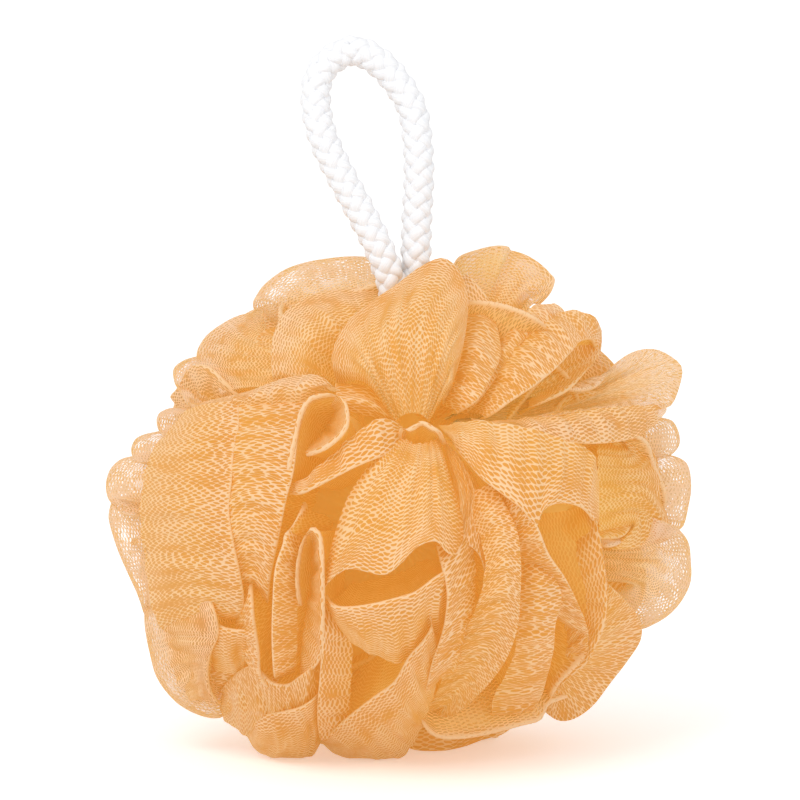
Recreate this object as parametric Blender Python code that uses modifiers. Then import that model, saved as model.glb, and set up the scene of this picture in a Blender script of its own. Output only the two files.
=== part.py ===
"""Mesh bath pouf: a ball of ruffled netting tied round its middle, with a braided hanging loop.

The real object is one long tube of extruded netting. It is gathered along its length and tied
round the middle by a thick cord, so that its folded edges spring out all round as ruffles, and
the cord's other end stands up as the hanging loop. Here each ruffle is a closed loft between a
foot near the middle and a rounded folded rim, and a union makes all of them one piece of
netting. Blender 4.5, metres, +Z up. The origin is at the middle of the underside.
"""

import math

import bmesh
import bpy
import numpy as np

MM = 0.001

# The ball of ruffles: half its width, depth and height, and the height of its centre.
BALL_HALF_WIDTH = 58.5 * MM
BALL_HALF_DEPTH = 54.0 * MM
BALL_HALF_HEIGHT = 51.5 * MM
BALL_CENTRE_HEIGHT = 49.0 * MM

# The gathered middle that every ruffle springs from, as a share of the ball.
GATHER_SHARE = 0.62

# A ruffle: the radius of its folded rim, and how its back layer returns to the middle.
RIM_RADIUS = 1.1 * MM
TUCK_SHARE = 0.35
TUCK_LIFT = 0.35
POINTS_ALONG_RIM = 25
POINTS_ACROSS_FACE = 9

# How finely the joined ruffles are followed, and how many triangles they keep.
VOXEL_SIZE = 0.8 * MM
TRIANGLES_KEPT = 10000

# The ruffles on the front are laid out as seen level from in front and a little above.
# The line of sight passes above the ball's centre, half way up the ball with its loop.
VIEW_TILT = math.radians(8.0)
VIEW_DISTANCE = 1200.0 * MM
SIGHT_ABOVE_CENTRE = 21.6 * MM

# The cord, its clearance in the netting, and the turn it takes round the gathered middle.
CORD_DIAMETER = 6.0 * MM
CORD_CLEARANCE = 0.3 * MM
CORD_POINTS = 40
WAIST_RADIUS = 12.0 * MM

# The scattered ruffles are arcs on the ball, each with three rows: its share of the arc's
# length, how far it leans over across the arc, and its share of the rim's height.
ARC_POINTS = 21
ARC_ROWS = ((0.42, -0.16, 0.5), (0.82, -0.06, 0.78), (1.0, 0.06, 1.0))
ARC_FOOT_LIFT = 0.1
ARC_END_DROP = 0.1

# The far side's ruffles: how many, from the back pole to a little past the sides, and how high
# they stand as a share of the ball, which is less at the sides and more underneath.
FAR_RUFFLES = 46
FAR_FROM = 1.0
FAR_TO = -0.12
FAR_LIFT = 0.98
SIDE_DROP = 0.07
GROUND_REACH = 0.18
REACH_FROM = -0.05
REACH_OVER = 0.3

# The inner ruffles lie between and behind those on the front, and lower towards its middle.
INNER_RUFFLES = 34
INNER_FROM = 0.1
INNER_TO = -0.8
INNER_LIFT = 0.83
INNER_DROP = 0.35

BALL_CENTRE = np.array((0.0, 0.0, BALL_CENTRE_HEIGHT))

# The ruffles on the front. Each has rows of points from its foot to its folded rim, and each
# point is (across, up, lift): millimetres right of the middle, millimetres above the underside,
# and how far forward it stands, where 1 is the ball's own surface and 0 its middle plane.
FRONT_RUFFLES = {
    "tongue": (
        ((-1, 68, 0.75), (0.5, 70, 0.8), (2.5, 70.5, 0.8), (4.5, 70, 0.8), (6, 68.5, 0.75)),
        ((-7, 76, 0.9), (-6.5, 83, 1), (-1, 87, 1.03), (5, 88, 1.03), (9.5, 84, 1), (10, 75, 0.9)),
        ((-12.5, 76, 0.82), (-13.5, 82, 0.86), (-11, 88, 0.92), (-6, 92.5, 0.95), (-1, 96, 0.97),
         (4.5, 100, 0.97), (8.5, 101.5, 0.97), (11.5, 99.5, 0.93), (13.5, 94, 0.9), (13, 86, 0.86),
         (11, 77.5, 0.83), (9, 72, 0.8)),
    ),
    "back_left": (
        ((-14, 79, 0), (-8, 83, 0), (-1.5, 83, 0)),
        ((-23, 89, -0.1), (-16, 94.5, -0.1), (-3, 95, -0.1)),
        ((-29, 90, -0.3), (-28.5, 94, -0.3), (-26, 97, -0.3), (-22, 99.5, -0.3), (-16, 101, -0.3),
         (-7.5, 101.5, -0.3), (-1.5, 100, -0.3)),
    ),
    "top_left": (
        ((-11, 73, 0.5), (-9, 76, 0.5), (-6, 78, 0.45), (-2, 79, 0.4)),
        ((-18, 75.5, 0.75), (-19, 83, 0.75), (-14, 88, 0.7), (-7.5, 89.5, 0.62), (-2.5, 89.5, 0.5)),
        ((-25, 76.5, 0.8), (-25.5, 83, 0.75), (-24.5, 88, 0.7), (-21.5, 92, 0.65), (-16, 94.5, 0.6),
         (-9, 95.5, 0.55), (-2, 96, 0.5)),
    ),
    "left_2": (
        ((-22, 85, 0.3), (-23, 82, 0.4), (-24, 78.5, 0.5), (-24.5, 74.5, 0.6)),
        ((-27.5, 87, 0.25), (-32, 84.5, 0.35), (-33, 80, 0.45), (-30.5, 74.5, 0.62)),
        ((-27.5, 90.5, 0.1), (-32, 90, 0.15), (-36, 88, 0.2), (-39, 85.5, 0.3), (-40.5, 82.5, 0.35),
         (-39.5, 80, 0.45), (-37, 77, 0.5), (-35, 73, 0.6)),
    ),
    "left_3": (
        ((-31, 77.5, 0.3), (-32, 74, 0.4), (-31, 71, 0.5)),
        ((-40, 81.5, 0.15), (-43, 81, 0.15), (-45, 79.5, 0.15), (-45, 77, 0.2), (-44, 75, 0.3),
         (-43, 73.5, 0.35), (-42, 70.5, 0.45)),
    ),
    "left_5": (
        ((-32, 70, 0.4), (-32, 66.5, 0.45)),
        ((-42.5, 71, 0.3), (-45.5, 71.5, 0.25), (-48, 70.5, 0.2), (-48.5, 69, 0.2), (-48, 67, 0.25),
         (-46, 65, 0.35)),
    ),
    "left_6": (
        ((-32, 66, 0.3), (-32, 60.5, 0.3)),
        ((-46, 67, 0.2), (-50, 66.5, 0.1), (-52.5, 65.5, 0.1), (-53.5, 63.5, 0.1), (-53, 61.5, 0.15),
         (-50, 60, 0.3)),
    ),
    "left_7": (
        ((-32, 60.5, 0.2), (-32, 53, 0.2)),
        ((-50, 62, 0.1), (-55, 61.5, 0.05), (-57.5, 59.5, 0.05), (-58.5, 56.5, 0.05), (-58, 53.5, 0.1),
         (-55.5, 51, 0.2), (-51, 50, 0.35)),
    ),
    "left_8": (
        ((-32, 52, 0.2), (-32, 44, 0.2), (-31, 33, 0.2)),
        ((-52, 52.5, 0.35), (-57, 53, 0.1), (-58, 50, 0.1), (-57.5, 47, 0.1), (-56, 42.5, 0.15),
         (-54, 38, 0.15), (-52, 33.5, 0.15), (-51, 29.5, 0.2)),
    ),
    "lower_left": (
        ((-32, 33, 0.2), (-30, 28, 0.2), (-27.5, 24, 0.2)),
        ((-41, 32.5, 0.45), (-40, 25, 0.5), (-38.5, 19.5, 0.45), (-35.5, 15, 0.35)),
        ((-51, 33, 0.2), (-51, 28, 0.1), (-50, 22.5, 0.1), (-48.5, 17.5, 0.1), (-45, 13, 0.1),
         (-41, 10.5, 0.1), (-36.5, 9.5, 0.15), (-34, 10.5, 0.2)),
    ),
    "left_roll": (
        ((-39, 67.5, 0.5), (-33, 70.5, 0.78), (-27, 71.5, 0.84), (-20, 72, 0.88), (-15.5, 73.5, 0.88)),
        ((-41, 70, 0.6), (-34, 72.5, 0.82), (-27, 74.5, 0.92), (-20, 75.5, 0.97), (-14.5, 75.5, 0.95)),
        ((-42.5, 72, 0.5), (-36, 73.5, 0.68), (-30, 75, 0.8), (-23, 77.5, 0.88), (-16.5, 78, 0.92),
         (-13, 75, 0.92)),
    ),
    "left_sheet": (
        ((-42, 70.5, 0.5), (-50, 63, 0.4), (-52, 53, 0.35), (-51, 41, 0.35), (-49, 33, 0.3),
         (-46.5, 28.5, 0.3)),
        ((-36.5, 71.5, 0.85), (-41, 65, 0.9), (-42.5, 55, 0.9), (-42, 43, 0.88), (-40, 34, 0.82),
         (-37, 28.5, 0.76)),
        ((-30, 72.5, 0.95), (-32.5, 67, 0.99), (-33.5, 59, 1.02), (-34, 51, 1.02), (-33, 43, 1),
         (-31.5, 35, 0.95), (-29.5, 30, 0.9)),
    ),
    "left_hollow": (
        ((-27.5, 71.5, 0.72), (-31, 65, 0.72), (-32, 53, 0.72), (-31.5, 43, 0.72), (-30, 33, 0.7)),
        ((-23.5, 72, 0.86), (-26, 65, 0.86), (-27, 55, 0.84), (-28.5, 45, 0.82), (-28.5, 35, 0.78)),
        ((-19.5, 73, 0.96), (-21, 67, 0.97), (-22.5, 59, 0.96), (-23.5, 53, 0.94), (-25, 45, 0.91),
         (-26.5, 38, 0.88), (-27.5, 33, 0.84)),
    ),
    "left_mouth_1": (
        ((-45, 33, 0.45), (-46, 25, 0.4), (-44, 17, 0.35)),
        ((-41, 33, 0.62), (-42, 26, 0.62), (-39.5, 19, 0.55)),
        ((-38, 34, 0.8), (-39, 31, 0.82), (-38, 27.5, 0.84), (-36.5, 25.5, 0.84), (-35, 23, 0.82),
         (-34.5, 18.5, 0.74)),
    ),
    "left_mouth_2": (
        ((-50, 25, 0.3), (-47.5, 18.5, 0.25), (-43, 12.5, 0.25)),
        ((-45, 25, 0.5), (-43, 20, 0.5), (-40, 13.5, 0.42)),
        ((-43, 27.5, 0.68), (-40, 24, 0.72), (-38, 21.5, 0.74), (-37.5, 17, 0.72), (-37.5, 13, 0.64),
         (-36, 11, 0.5)),
    ),
    "left_inner": (
        ((-26.5, 33, 0.55), (-27, 25, 0.55), (-27.5, 15, 0.5)),
        ((-33, 33, 0.5), (-33, 24, 0.52), (-33.5, 15, 0.48)),
        ((-38.5, 34, 0.42), (-39, 24, 0.42), (-38.5, 14, 0.36)),
    ),
    "left_eye": (
        ((-45.5, 46.5, 0.55), (-44.5, 41.5, 0.55), (-45.5, 36, 0.5)),
        ((-49.5, 47, 0.48), (-48.5, 42, 0.5), (-49, 37, 0.45)),
        ((-54, 43.5, 0.38), (-53.5, 45, 0.42), (-52, 45.5, 0.46), (-51, 43.5, 0.48), (-50, 41, 0.46),
         (-50.5, 38.5, 0.4)),
    ),
    "neck_left": (
        ((-0.5, 67, 0.72), (0, 68, 0.72), (0, 69, 0.72)),
        ((-5.5, 69, 0.84), (-6, 72, 0.84), (-6, 75, 0.78)),
        ((-11, 70.5, 0.9), (-12, 73.5, 0.88), (-12.5, 76, 0.82)),
    ),
    "inner_right": (
        ((8, 65.5, 0.78), (9.5, 65, 0.78), (11, 64, 0.78)),
        ((11, 53, 0.88), (13.5, 53.5, 0.9), (16.5, 53, 0.88)),
        ((9.5, 31, 0.82), (11, 40, 0.88), (13.5, 44.5, 0.92), (16, 42.5, 0.91), (17.5, 37.5, 0.88)),
    ),
    "centre_side": (
        ((14, 52, 0.88), (15, 41, 0.86), (15, 33, 0.84), (13.5, 25, 0.78), (11, 15, 0.66)),
        ((12, 47, 0.95), (13, 38, 0.94), (12.5, 32, 0.93), (11.5, 25, 0.9), (9, 17, 0.8)),
        ((8, 43.5, 1), (9, 40, 1.01), (10, 36, 1.01), (10, 32, 0.99), (9, 26.5, 0.96), (7, 20.5, 0.92),
         (5.5, 14, 0.84)),
    ),
    "pocket_1": (
        ((-19, 64, 0.65), (-18.5, 67, 0.62), (-17.5, 69, 0.6), (-15.5, 70, 0.6), (-15, 68, 0.62),
         (-16.5, 66, 0.65)),
        ((-23, 55.5, 0.96), (-22.5, 61, 1), (-21.5, 65.5, 1), (-20.5, 70, 0.98), (-18.5, 73.5, 0.97),
         (-15, 74.5, 0.98), (-12, 73.5, 1), (-11, 70.5, 1.02), (-11.5, 67.5, 1.03), (-14.5, 64.5, 1.03),
         (-19, 62, 1.02)),
    ),
    "strap": (
        ((-23.5, 56, 0.9), (-20, 57, 0.93), (-15, 61, 0.95), (-10, 65.5, 0.96), (-6, 68.5, 0.95),
         (-3, 69.5, 0.93), (0.5, 67.5, 0.88)),
        ((-22.5, 54, 0.93), (-19, 55.5, 0.99), (-14, 58, 1.01), (-9, 60.5, 1.02), (-4, 62.5, 1),
         (0.5, 64, 0.9)),
    ),
    "centre": (
        ((0.5, 66, 0.85), (2.5, 64.5, 0.9), (5, 64.5, 0.9), (7.5, 65.5, 0.85)),
        ((-4.5, 61.5, 1), (1, 60.5, 1.02), (6, 60.5, 1.02), (9.5, 59, 0.97)),
        ((-10, 54, 1.02), (-2, 53, 1.05), (6, 53, 1.05), (11.5, 52.5, 0.98)),
        ((-13, 46, 1), (-6, 46, 1.07), (5, 47.5, 1.07), (13, 46, 0.97)),
        ((-16, 34, 0.93), (-14, 37, 0.98), (-10, 39.5, 1.03), (-3, 38.5, 1.08), (0.5, 41, 1.09),
         (3.5, 44, 1.09), (7, 45.5, 1.07), (9.5, 43, 1.02), (12.5, 41, 0.93)),
    ),
    "centre_top": (
        ((3, 65.5, 0.7), (4.5, 66, 0.66), (7, 65.5, 0.7)),
        ((0.5, 64.5, 0.93), (1, 67.5, 0.96), (2, 69, 0.97), (4.5, 69.5, 0.98), (6.5, 69, 0.98),
         (8, 67, 0.97), (9.5, 64.5, 0.94)),
    ),
    "lower_lip": (
        ((-12.5, 27, 0.82), (-9, 24, 0.86), (-5, 22, 0.88), (0, 20.5, 0.88), (6, 25, 0.83),
         (10.5, 30, 0.78)),
        ((-14, 29, 0.93), (-8, 26.5, 1), (-1, 26.5, 1.02), (5, 30.5, 1), (10.5, 33.5, 0.9)),
        ((-15.5, 33.5, 0.93), (-13.5, 31.5, 0.98), (-11, 31, 1.01), (-6, 31.5, 1.05), (0, 33, 1.06),
         (3, 34, 1.06), (6.5, 36.5, 1.05), (9, 38, 1.01), (11.5, 40, 0.93)),
    ),
    "under_left": (
        ((-9.5, 29, 0.85), (-9.5, 23, 0.8), (-10, 13, 0.7), (-11, 4.5, 0.5)),
        ((-15.5, 32.5, 0.93), (-15, 25, 0.95), (-15.5, 17, 0.9), (-16, 10, 0.8), (-15.5, 4, 0.5)),
    ),
    "bottom": (
        ((-15.5, 3.5, 0.25), (-11, 1, 0.2), (-5.5, 0, 0.2), (-1, 0.5, 0.25), (2.5, 4, 0.4),
         (6, 12, 0.6), (8.5, 20, 0.72)),
        ((-15, 4, 0.4), (-10, 4, 0.6), (-4, 6.5, 0.78), (0.5, 10.5, 0.84), (4, 15, 0.85), (7, 22, 0.86),
         (8.5, 26, 0.84)),
        ((-15.5, 4, 0.5), (-12, 7.5, 0.74), (-9, 10, 0.85), (-5, 13, 0.92), (-1, 16, 0.95),
         (2, 21, 0.97), (5, 24.5, 0.98), (6.5, 27.5, 0.98), (5.5, 30, 0.96), (3, 31, 0.92)),
    ),
    "bottom_left": (
        ((-36.5, 12, 0.15), (-35, 9, 0.15), (-31, 6, 0.15), (-27.5, 2.5, 0.15), (-23, 1, 0.15),
         (-18, 1.5, 0.2), (-16, 4, 0.3)),
        ((-35.5, 14.5, 0.4), (-32, 14, 0.62), (-29, 12, 0.66), (-24, 10, 0.72), (-20, 10.5, 0.72),
         (-16, 13, 0.7)),
        ((-36.5, 13.5, 0.3), (-34.5, 16.5, 0.5), (-31, 19, 0.7), (-29, 18.5, 0.78), (-27, 16, 0.82),
         (-23.5, 15.5, 0.87), (-20.5, 17, 0.9), (-18, 19, 0.9), (-16, 21.5, 0.9)),
    ),
    "loop_a": (
        ((-19, 49, 0.82), (-20, 42, 0.86), (-20.5, 33, 0.86), (-20.5, 25, 0.83), (-21, 18, 0.78)),
        ((-19.5, 52, 0.9), (-22.5, 45, 1), (-24.5, 39, 1.03), (-25, 32, 1.03), (-25, 24, 1),
         (-24.5, 16.5, 0.9)),
    ),
    "loop_a2": (
        ((-33, 30, 0.7), (-32.5, 25, 0.72), (-30.5, 20, 0.7)),
        ((-30.5, 36, 0.9), (-30, 30, 0.97), (-29, 23, 0.95), (-28.5, 17.5, 0.9), (-26.5, 15.5, 0.87),
         (-24.5, 17, 0.87)),
    ),
    "loop_b": (
        ((-20, 31, 0.78), (-19.5, 39, 0.72), (-18, 42, 0.7), (-18, 37, 0.75), (-19, 29, 0.78),
         (-20, 22, 0.78)),
        ((-20.5, 31, 0.92), (-21, 38, 0.95), (-20, 44, 0.97), (-18, 47, 0.98), (-16.5, 45.5, 0.99),
         (-16, 37, 0.99), (-16, 29, 0.97), (-16.5, 22, 0.92), (-20, 17.5, 0.86)),
    ),
    "right_face": (
        ((7.5, 67.5, 0.8), (14, 69, 0.91), (20, 68.5, 0.94), (26, 67.5, 0.95), (32, 65.5, 0.93),
         (38.5, 62.5, 0.86), (40, 56, 0.8)),
        ((9, 66, 0.9), (15, 65, 1.01), (22, 62, 1.05), (29, 59, 1.05), (35.5, 56, 0.98),
         (40, 51.5, 0.85)),
        ((10, 65, 0.9), (13, 62, 0.98), (16.5, 58, 1.03), (20.5, 55, 1.06), (24.5, 52, 1.08),
         (27.5, 48.5, 1.07), (29, 51.5, 1.07), (32.5, 53, 1.04), (37, 52, 0.98), (40, 48, 0.86)),
    ),
    "right_lip": (
        ((35, 47, 0.7), (35.5, 41, 0.72), (37, 35, 0.7), (37, 30, 0.64), (35.5, 25.5, 0.58),
         (32.5, 21.5, 0.52), (30, 18, 0.48)),
        ((38, 52, 0.9), (39.5, 47, 0.88), (40.5, 41, 0.85), (41, 35, 0.82), (40.5, 29.5, 0.78),
         (39, 24.5, 0.74), (37, 20.5, 0.68), (33.5, 17.5, 0.6), (30.5, 13.5, 0.5)),
    ),
    "right_4": (
        ((18.5, 52, 0.88), (22, 46, 0.92), (25, 40, 0.88), (28.5, 34.5, 0.82), (31, 29, 0.74)),
        ((20, 56, 1), (24.5, 52, 1.06), (27, 47, 1.06), (29, 42, 1.02), (32.5, 37.5, 0.96),
         (35, 33, 0.9), (37, 28.5, 0.84), (38, 24, 0.72)),
    ),
    "right_1": (
        ((13, 53, 0.88), (15.5, 47, 0.92), (17, 41, 0.94), (16, 34, 0.92), (13.5, 28, 0.86),
         (10, 22, 0.78), (7.5, 15, 0.62), (3, 8.5, 0.35)),
        ((15.5, 54.5, 0.97), (20, 46, 1.03), (21, 39, 1.03), (20.5, 33, 1), (18, 26, 0.92),
         (14, 19, 0.8), (8, 10.5, 0.5)),
        ((18.5, 56, 0.97), (23, 47.5, 1.02), (24, 41, 1.03), (24, 35, 1.01), (23.5, 28, 0.95),
         (21, 21, 0.84), (16.5, 15, 0.68), (10.5, 10, 0.46), (3, 8, 0.3)),
    ),
    "right_2": (
        ((24, 41, 0.9), (24, 35, 0.9), (23.5, 29, 0.86), (23, 23, 0.8), (21, 18, 0.7), (18.5, 13, 0.55),
         (19, 6.5, 0.25)),
        ((27, 41, 0.97), (28, 35, 0.98), (28, 29, 0.96), (27, 23, 0.9), (25, 16.5, 0.75), (22, 7, 0.3)),
        ((29.5, 40, 0.95), (32, 35, 0.95), (32, 32, 0.95), (31, 28.5, 0.94), (30.5, 23, 0.88),
         (29, 17, 0.74), (27.5, 12.5, 0.55), (24, 8, 0.3)),
    ),
    "right_3": (
        ((32.5, 29, 0.55), (33.5, 25, 0.55), (32.5, 20.5, 0.5), (30.5, 16.5, 0.42)),
        ((33, 33.5, 0.9), (35.5, 31, 0.86), (37, 28, 0.8), (37.5, 25, 0.75), (37, 22, 0.7),
         (34.5, 19, 0.65), (32, 16.5, 0.58), (30, 12.5, 0.45)),
    ),
    "right_6": (
        ((30, 13, 0.35), (31, 15, 0.42), (34, 18, 0.48), (37.5, 22, 0.52), (39, 26.5, 0.56),
         (39, 32, 0.6)),
        ((28, 12.5, 0.3), (29.5, 10.5, 0.2), (32, 9, 0.15), (35, 9.5, 0.15), (38.5, 12, 0.15),
         (42, 16.5, 0.18), (45.5, 21, 0.22), (48, 25, 0.28), (48, 28.5, 0.4), (44.5, 33, 0.55),
         (41, 36, 0.66)),
    ),
    "right_7": (
        ((33, 36, 0.4), (33.5, 41, 0.4), (33, 46, 0.4)),
        ((46, 36, 0.5), (50, 37, 0.35), (51, 41, 0.3), (48, 45, 0.4)),
        ((41, 35, 0.6), (45, 30.5, 0.5), (48, 27.5, 0.35), (51, 28.5, 0.25), (54, 30.5, 0.2),
         (56.5, 33.5, 0.15), (58, 37, 0.15), (58, 41, 0.15), (57.5, 44.5, 0.2), (55.5, 47, 0.3),
         (50, 49, 0.45)),
    ),
    "right_8": (
        ((33, 48, 0.3), (33.5, 52, 0.3), (33, 57, 0.3)),
        ((40, 44, 0.55), (48, 46, 0.3), (56, 47.5, 0.05), (57.5, 52, 0.05), (58, 56.5, 0.05),
         (57, 60.5, 0.05), (53.5, 62, 0.1), (46, 62, 0.35)),
    ),
    "right_5": (
        ((32, 59, 0.25), (32, 65, 0.25)),
        ((48, 60.5, 0.2), (53.5, 62, 0.1), (55.5, 64, 0.05), (55.5, 66.5, 0.05), (54, 69, 0.1),
         (50, 69.5, 0.2)),
    ),
    "loop_right": (
        ((10, 68, 0.7), (11, 69, 0.68), (12, 69, 0.68), (13, 68.5, 0.7)),
        ((26, 74, 0.45), (29, 72, 0.42), (29, 69.5, 0.45), (26, 68, 0.5)),
        ((32, 75.5, 0.55), (40, 78, 0.4), (48, 79.5, 0.3), (52.5, 78, 0.3), (51, 74.5, 0.35),
         (44, 72.5, 0.45), (32, 70.5, 0.6)),
        ((32, 75.5, 0.62), (38, 76, 0.52), (41, 78, 0.42), (43.5, 80.5, 0.32), (47, 82.5, 0.25),
         (50.5, 83, 0.2), (53.5, 82, 0.2), (56, 80, 0.2), (56, 77, 0.2), (54.5, 73, 0.25),
         (51, 72, 0.4), (40, 71.5, 0.62), (28, 69.5, 0.8)),
    ),
    "right_strap": (
        ((14, 69, 0.8), (20, 69, 0.8), (32, 70.5, 0.7), (40, 71.5, 0.62), (48, 72, 0.5), (53, 72, 0.35)),
        ((15, 68, 0.86), (23, 68, 0.88), (32, 68, 0.82), (40, 68, 0.74), (48, 69.5, 0.58),
         (53.5, 70.5, 0.35)),
        ((16, 68, 0.88), (24, 67, 0.9), (32, 65.5, 0.86), (40, 65, 0.76), (47, 66, 0.6),
         (52.5, 69, 0.35)),
    ),
    "top_right_2": (
        ((8.5, 69, 0.7), (9.5, 69.5, 0.68), (11, 70, 0.66), (12.5, 70.5, 0.66), (13.5, 70, 0.67),
         (15, 69, 0.7)),
        ((20, 73, 0.5), (24, 77, 0.45), (28, 80, 0.38), (29.5, 79, 0.4), (29, 76.5, 0.48),
         (24.5, 73.5, 0.55)),
        ((16.5, 70, 0.78), (20, 79.5, 0.72), (23.5, 87.5, 0.55), (28, 89, 0.45), (32.5, 90, 0.38),
         (36, 91, 0.32), (39, 89.5, 0.3), (40, 86.5, 0.33), (40, 83, 0.4), (38, 80, 0.5),
         (33.5, 76, 0.62), (26, 71.5, 0.78)),
    ),
    "top_right_3": (
        ((7.5, 69.5, 0.7), (8.5, 71, 0.68), (10, 71.5, 0.66)),
        ((14, 72, 0.6), (16, 76, 0.5), (20, 81, 0.4)),
        ((12.5, 71, 0.8), (16.5, 79, 0.72), (21, 86, 0.55), (25.5, 90.5, 0.4), (29, 92, 0.3),
         (32, 92, 0.25), (33, 90, 0.3), (29, 85, 0.45), (23, 78, 0.6)),
    ),
    "top_right_0": (
        ((6.5, 70.5, 0.72), (7.5, 72, 0.72), (8, 72.5, 0.7)),
        ((10, 72, 0.6), (12.5, 76, 0.5), (14, 81, 0.4)),
        ((12.5, 87, 0.55), (14, 91.5, 0.45), (16, 92, 0.4), (18, 90.5, 0.4), (19.5, 87, 0.48),
         (20, 82, 0.6), (19.5, 76.5, 0.7), (17, 71.5, 0.8)),
    ),
    "top_back": (
        ((10, 83, 0), (15, 84, 0), (20, 83, 0)),
        ((12.5, 93, -0.2), (20, 95, -0.2), (26, 93, -0.15)),
        ((11, 98, -0.3), (12.5, 101, -0.35), (16.5, 102.5, -0.35), (21, 103, -0.35), (26, 101.5, -0.35),
         (30, 98, -0.35), (29.5, 95.5, -0.3), (27, 92, -0.2)),
    ),
    "bottom_right_back": (
        ((4, 21, 0.1), (12, 21, 0.1), (20, 23, 0.1)),
        ((1, 6, 0.1), (2.5, 3.5, 0), (8, 3, 0), (13, 4, 0), (17, 5.5, 0.05), (20.5, 6.5, 0.1),
         (24, 8.5, 0.1)),
    ),
}

# The cord's way: a turn round the gathered middle, up through the ruffles, the open loop, and
# down again to the knot. Points are (across, up, forward) in millimetres, forward of the middle.
TURN_POINTS = 9
ROUTE_UP = ((-7, 66, 2), (-4.5, 76, 7), (-2.5, 87, 12), (-1.5, 95, 14.5))
ROUTE_LOOP = (
    (-4, 103, 15),
    (-8, 111, 14),
    (-11.8, 118, 13),
    (-15.4, 125.6, 12),
    (-16.8, 132, 11),
    (-16.4, 137.5, 10.5),
    (-14, 141, 10),
    (-9.2, 143, 10),
    (-4.2, 140.6, 10),
    (0, 135.8, 10.5),
    (2.4, 131.4, 11),
    (3.4, 126, 11.5),
    (3.8, 118, 12),
    (3.4, 110, 12),
    (3.2, 102, 12),
)
ROUTE_DOWN = ((3.5, 94, 10.5), (5, 84, 8), (6.5, 75, 6), (6.5, 68, 5))


def clear_scene():
    for thing in list(bpy.data.objects):
        bpy.data.objects.remove(thing, do_unlink=True)


def new_collection(name):
    collection = bpy.data.collections.new(name)
    bpy.context.scene.collection.children.link(collection)
    return collection


def material(name, colour, roughness):
    """A plain Principled material of one colour."""
    made = bpy.data.materials.new(name)
    made.use_nodes = True
    shader = made.node_tree.nodes["Principled BSDF"]
    shader.inputs["Base Color"].default_value = (*colour, 1.0)
    shader.inputs["Roughness"].default_value = roughness
    shader.inputs["Metallic"].default_value = 0.0
    return made


def as_helper(thing):
    """Keeps an object that only shapes others out of the finished part."""
    thing.hide_render = True
    thing.display_type = "WIRE"
    return thing


def view_to_world(across, up, forward):
    """The place in space of an offset from the ball's centre as the viewer sees it, who looks
    from a little above and a fixed distance, so that what stands forward looks larger about the
    line of sight."""
    shrink = 1.0 - forward / VIEW_DISTANCE
    across = across * shrink
    up = SIGHT_ABOVE_CENTRE + (up - SIGHT_ABOVE_CENTRE) * shrink
    y = up * math.sin(VIEW_TILT) - forward * math.cos(VIEW_TILT)
    z = up * math.cos(VIEW_TILT) + forward * math.sin(VIEW_TILT)
    return np.stack((across, y, BALL_CENTRE_HEIGHT + z), axis=-1)


def on_front(points):
    """The place in space of (across, up, lift) points: lift is a share of the ball's depth
    there, which is its half depth times the root of 1 - (x / a)^2 - (z / c)^2."""
    points = np.asarray(points, float)
    across = points[..., 0] * MM
    up = points[..., 1] * MM - BALL_HALF_HEIGHT
    from_middle = (across / BALL_HALF_WIDTH) ** 2 + (up / BALL_HALF_HEIGHT) ** 2
    depth_here = BALL_HALF_DEPTH * np.sqrt(np.maximum(1.0 - from_middle, 0.1))
    return view_to_world(across, up, points[..., 2] * depth_here)


def on_ball(directions, lift):
    """The place in space of unit directions from the ball's centre, at lift times its surface."""
    half = np.array((BALL_HALF_WIDTH, BALL_HALF_DEPTH, BALL_HALF_HEIGHT))
    return BALL_CENTRE + np.asarray(lift)[..., None] * half * directions


def smooth_curve(points, count):
    """Evenly spaced points of the Catmull-Rom curve through a few chosen points."""
    points = np.asarray(points, float)
    if len(points) == 2:
        points = np.array((points[0], points.mean(axis=0), points[1]))
    steps = np.linalg.norm(np.diff(points, axis=0), axis=1)
    knots = np.concatenate(([0.0], np.cumsum(steps)))
    slopes = np.empty_like(points)
    slopes[1:-1] = (points[2:] - points[:-2]) / (knots[2:] - knots[:-2])[:, None]
    slopes[0] = (points[1] - points[0]) / steps[0]
    slopes[-1] = (points[-1] - points[-2]) / steps[-1]
    along = np.linspace(0.0, knots[-1], count)
    piece = np.clip(np.searchsorted(knots, along, side="right") - 1, 0, len(steps) - 1)
    width = steps[piece][:, None]
    t = ((along - knots[piece]) / steps[piece])[:, None]
    return (
        (2 * t**3 - 3 * t**2 + 1) * points[piece]
        + (t**3 - 2 * t**2 + t) * width * slopes[piece]
        + (3 * t**2 - 2 * t**3) * points[piece + 1]
        + (t**3 - t**2) * width * slopes[piece + 1]
    )


def unit(vectors):
    length = np.linalg.norm(vectors, axis=-1, keepdims=True)
    return vectors / np.maximum(length, 1e-9)


def ruffle(name, rows, places, collection):
    """A closed ruffle lofted over rows of points from its foot to its folded rim.

    Its front layer passes through the rows. The rim is rolled over, out past the edge and round,
    and the back layer returns from it to the gathered middle.
    """
    along = np.array([smooth_curve(row, places) for row in rows])
    face = np.array([smooth_curve(along[:, i], POINTS_ACROSS_FACE) for i in range(places)])
    face = face.transpose(1, 0, 2)
    rim = face[-1]
    tuck = rim + TUCK_SHARE * (face[0].mean(axis=0) - rim)
    tuck = BALL_CENTRE + TUCK_LIFT * (tuck - BALL_CENTRE)
    outward = unit(rim - face[-2])
    sideways = unit(np.gradient(rim, axis=0))
    away = rim - tuck
    away = away - (away * outward).sum(-1, keepdims=True) * outward
    away = unit(away - (away * sideways).sum(-1, keepdims=True) * sideways)
    tip = rim + RIM_RADIUS * (0.8 * outward - away)
    behind = rim - 2.0 * RIM_RADIUS * away
    halfway = 0.5 * (behind + tuck)
    return loft(name, np.concatenate((face, (tip, behind, halfway, tuck))), collection)


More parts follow.
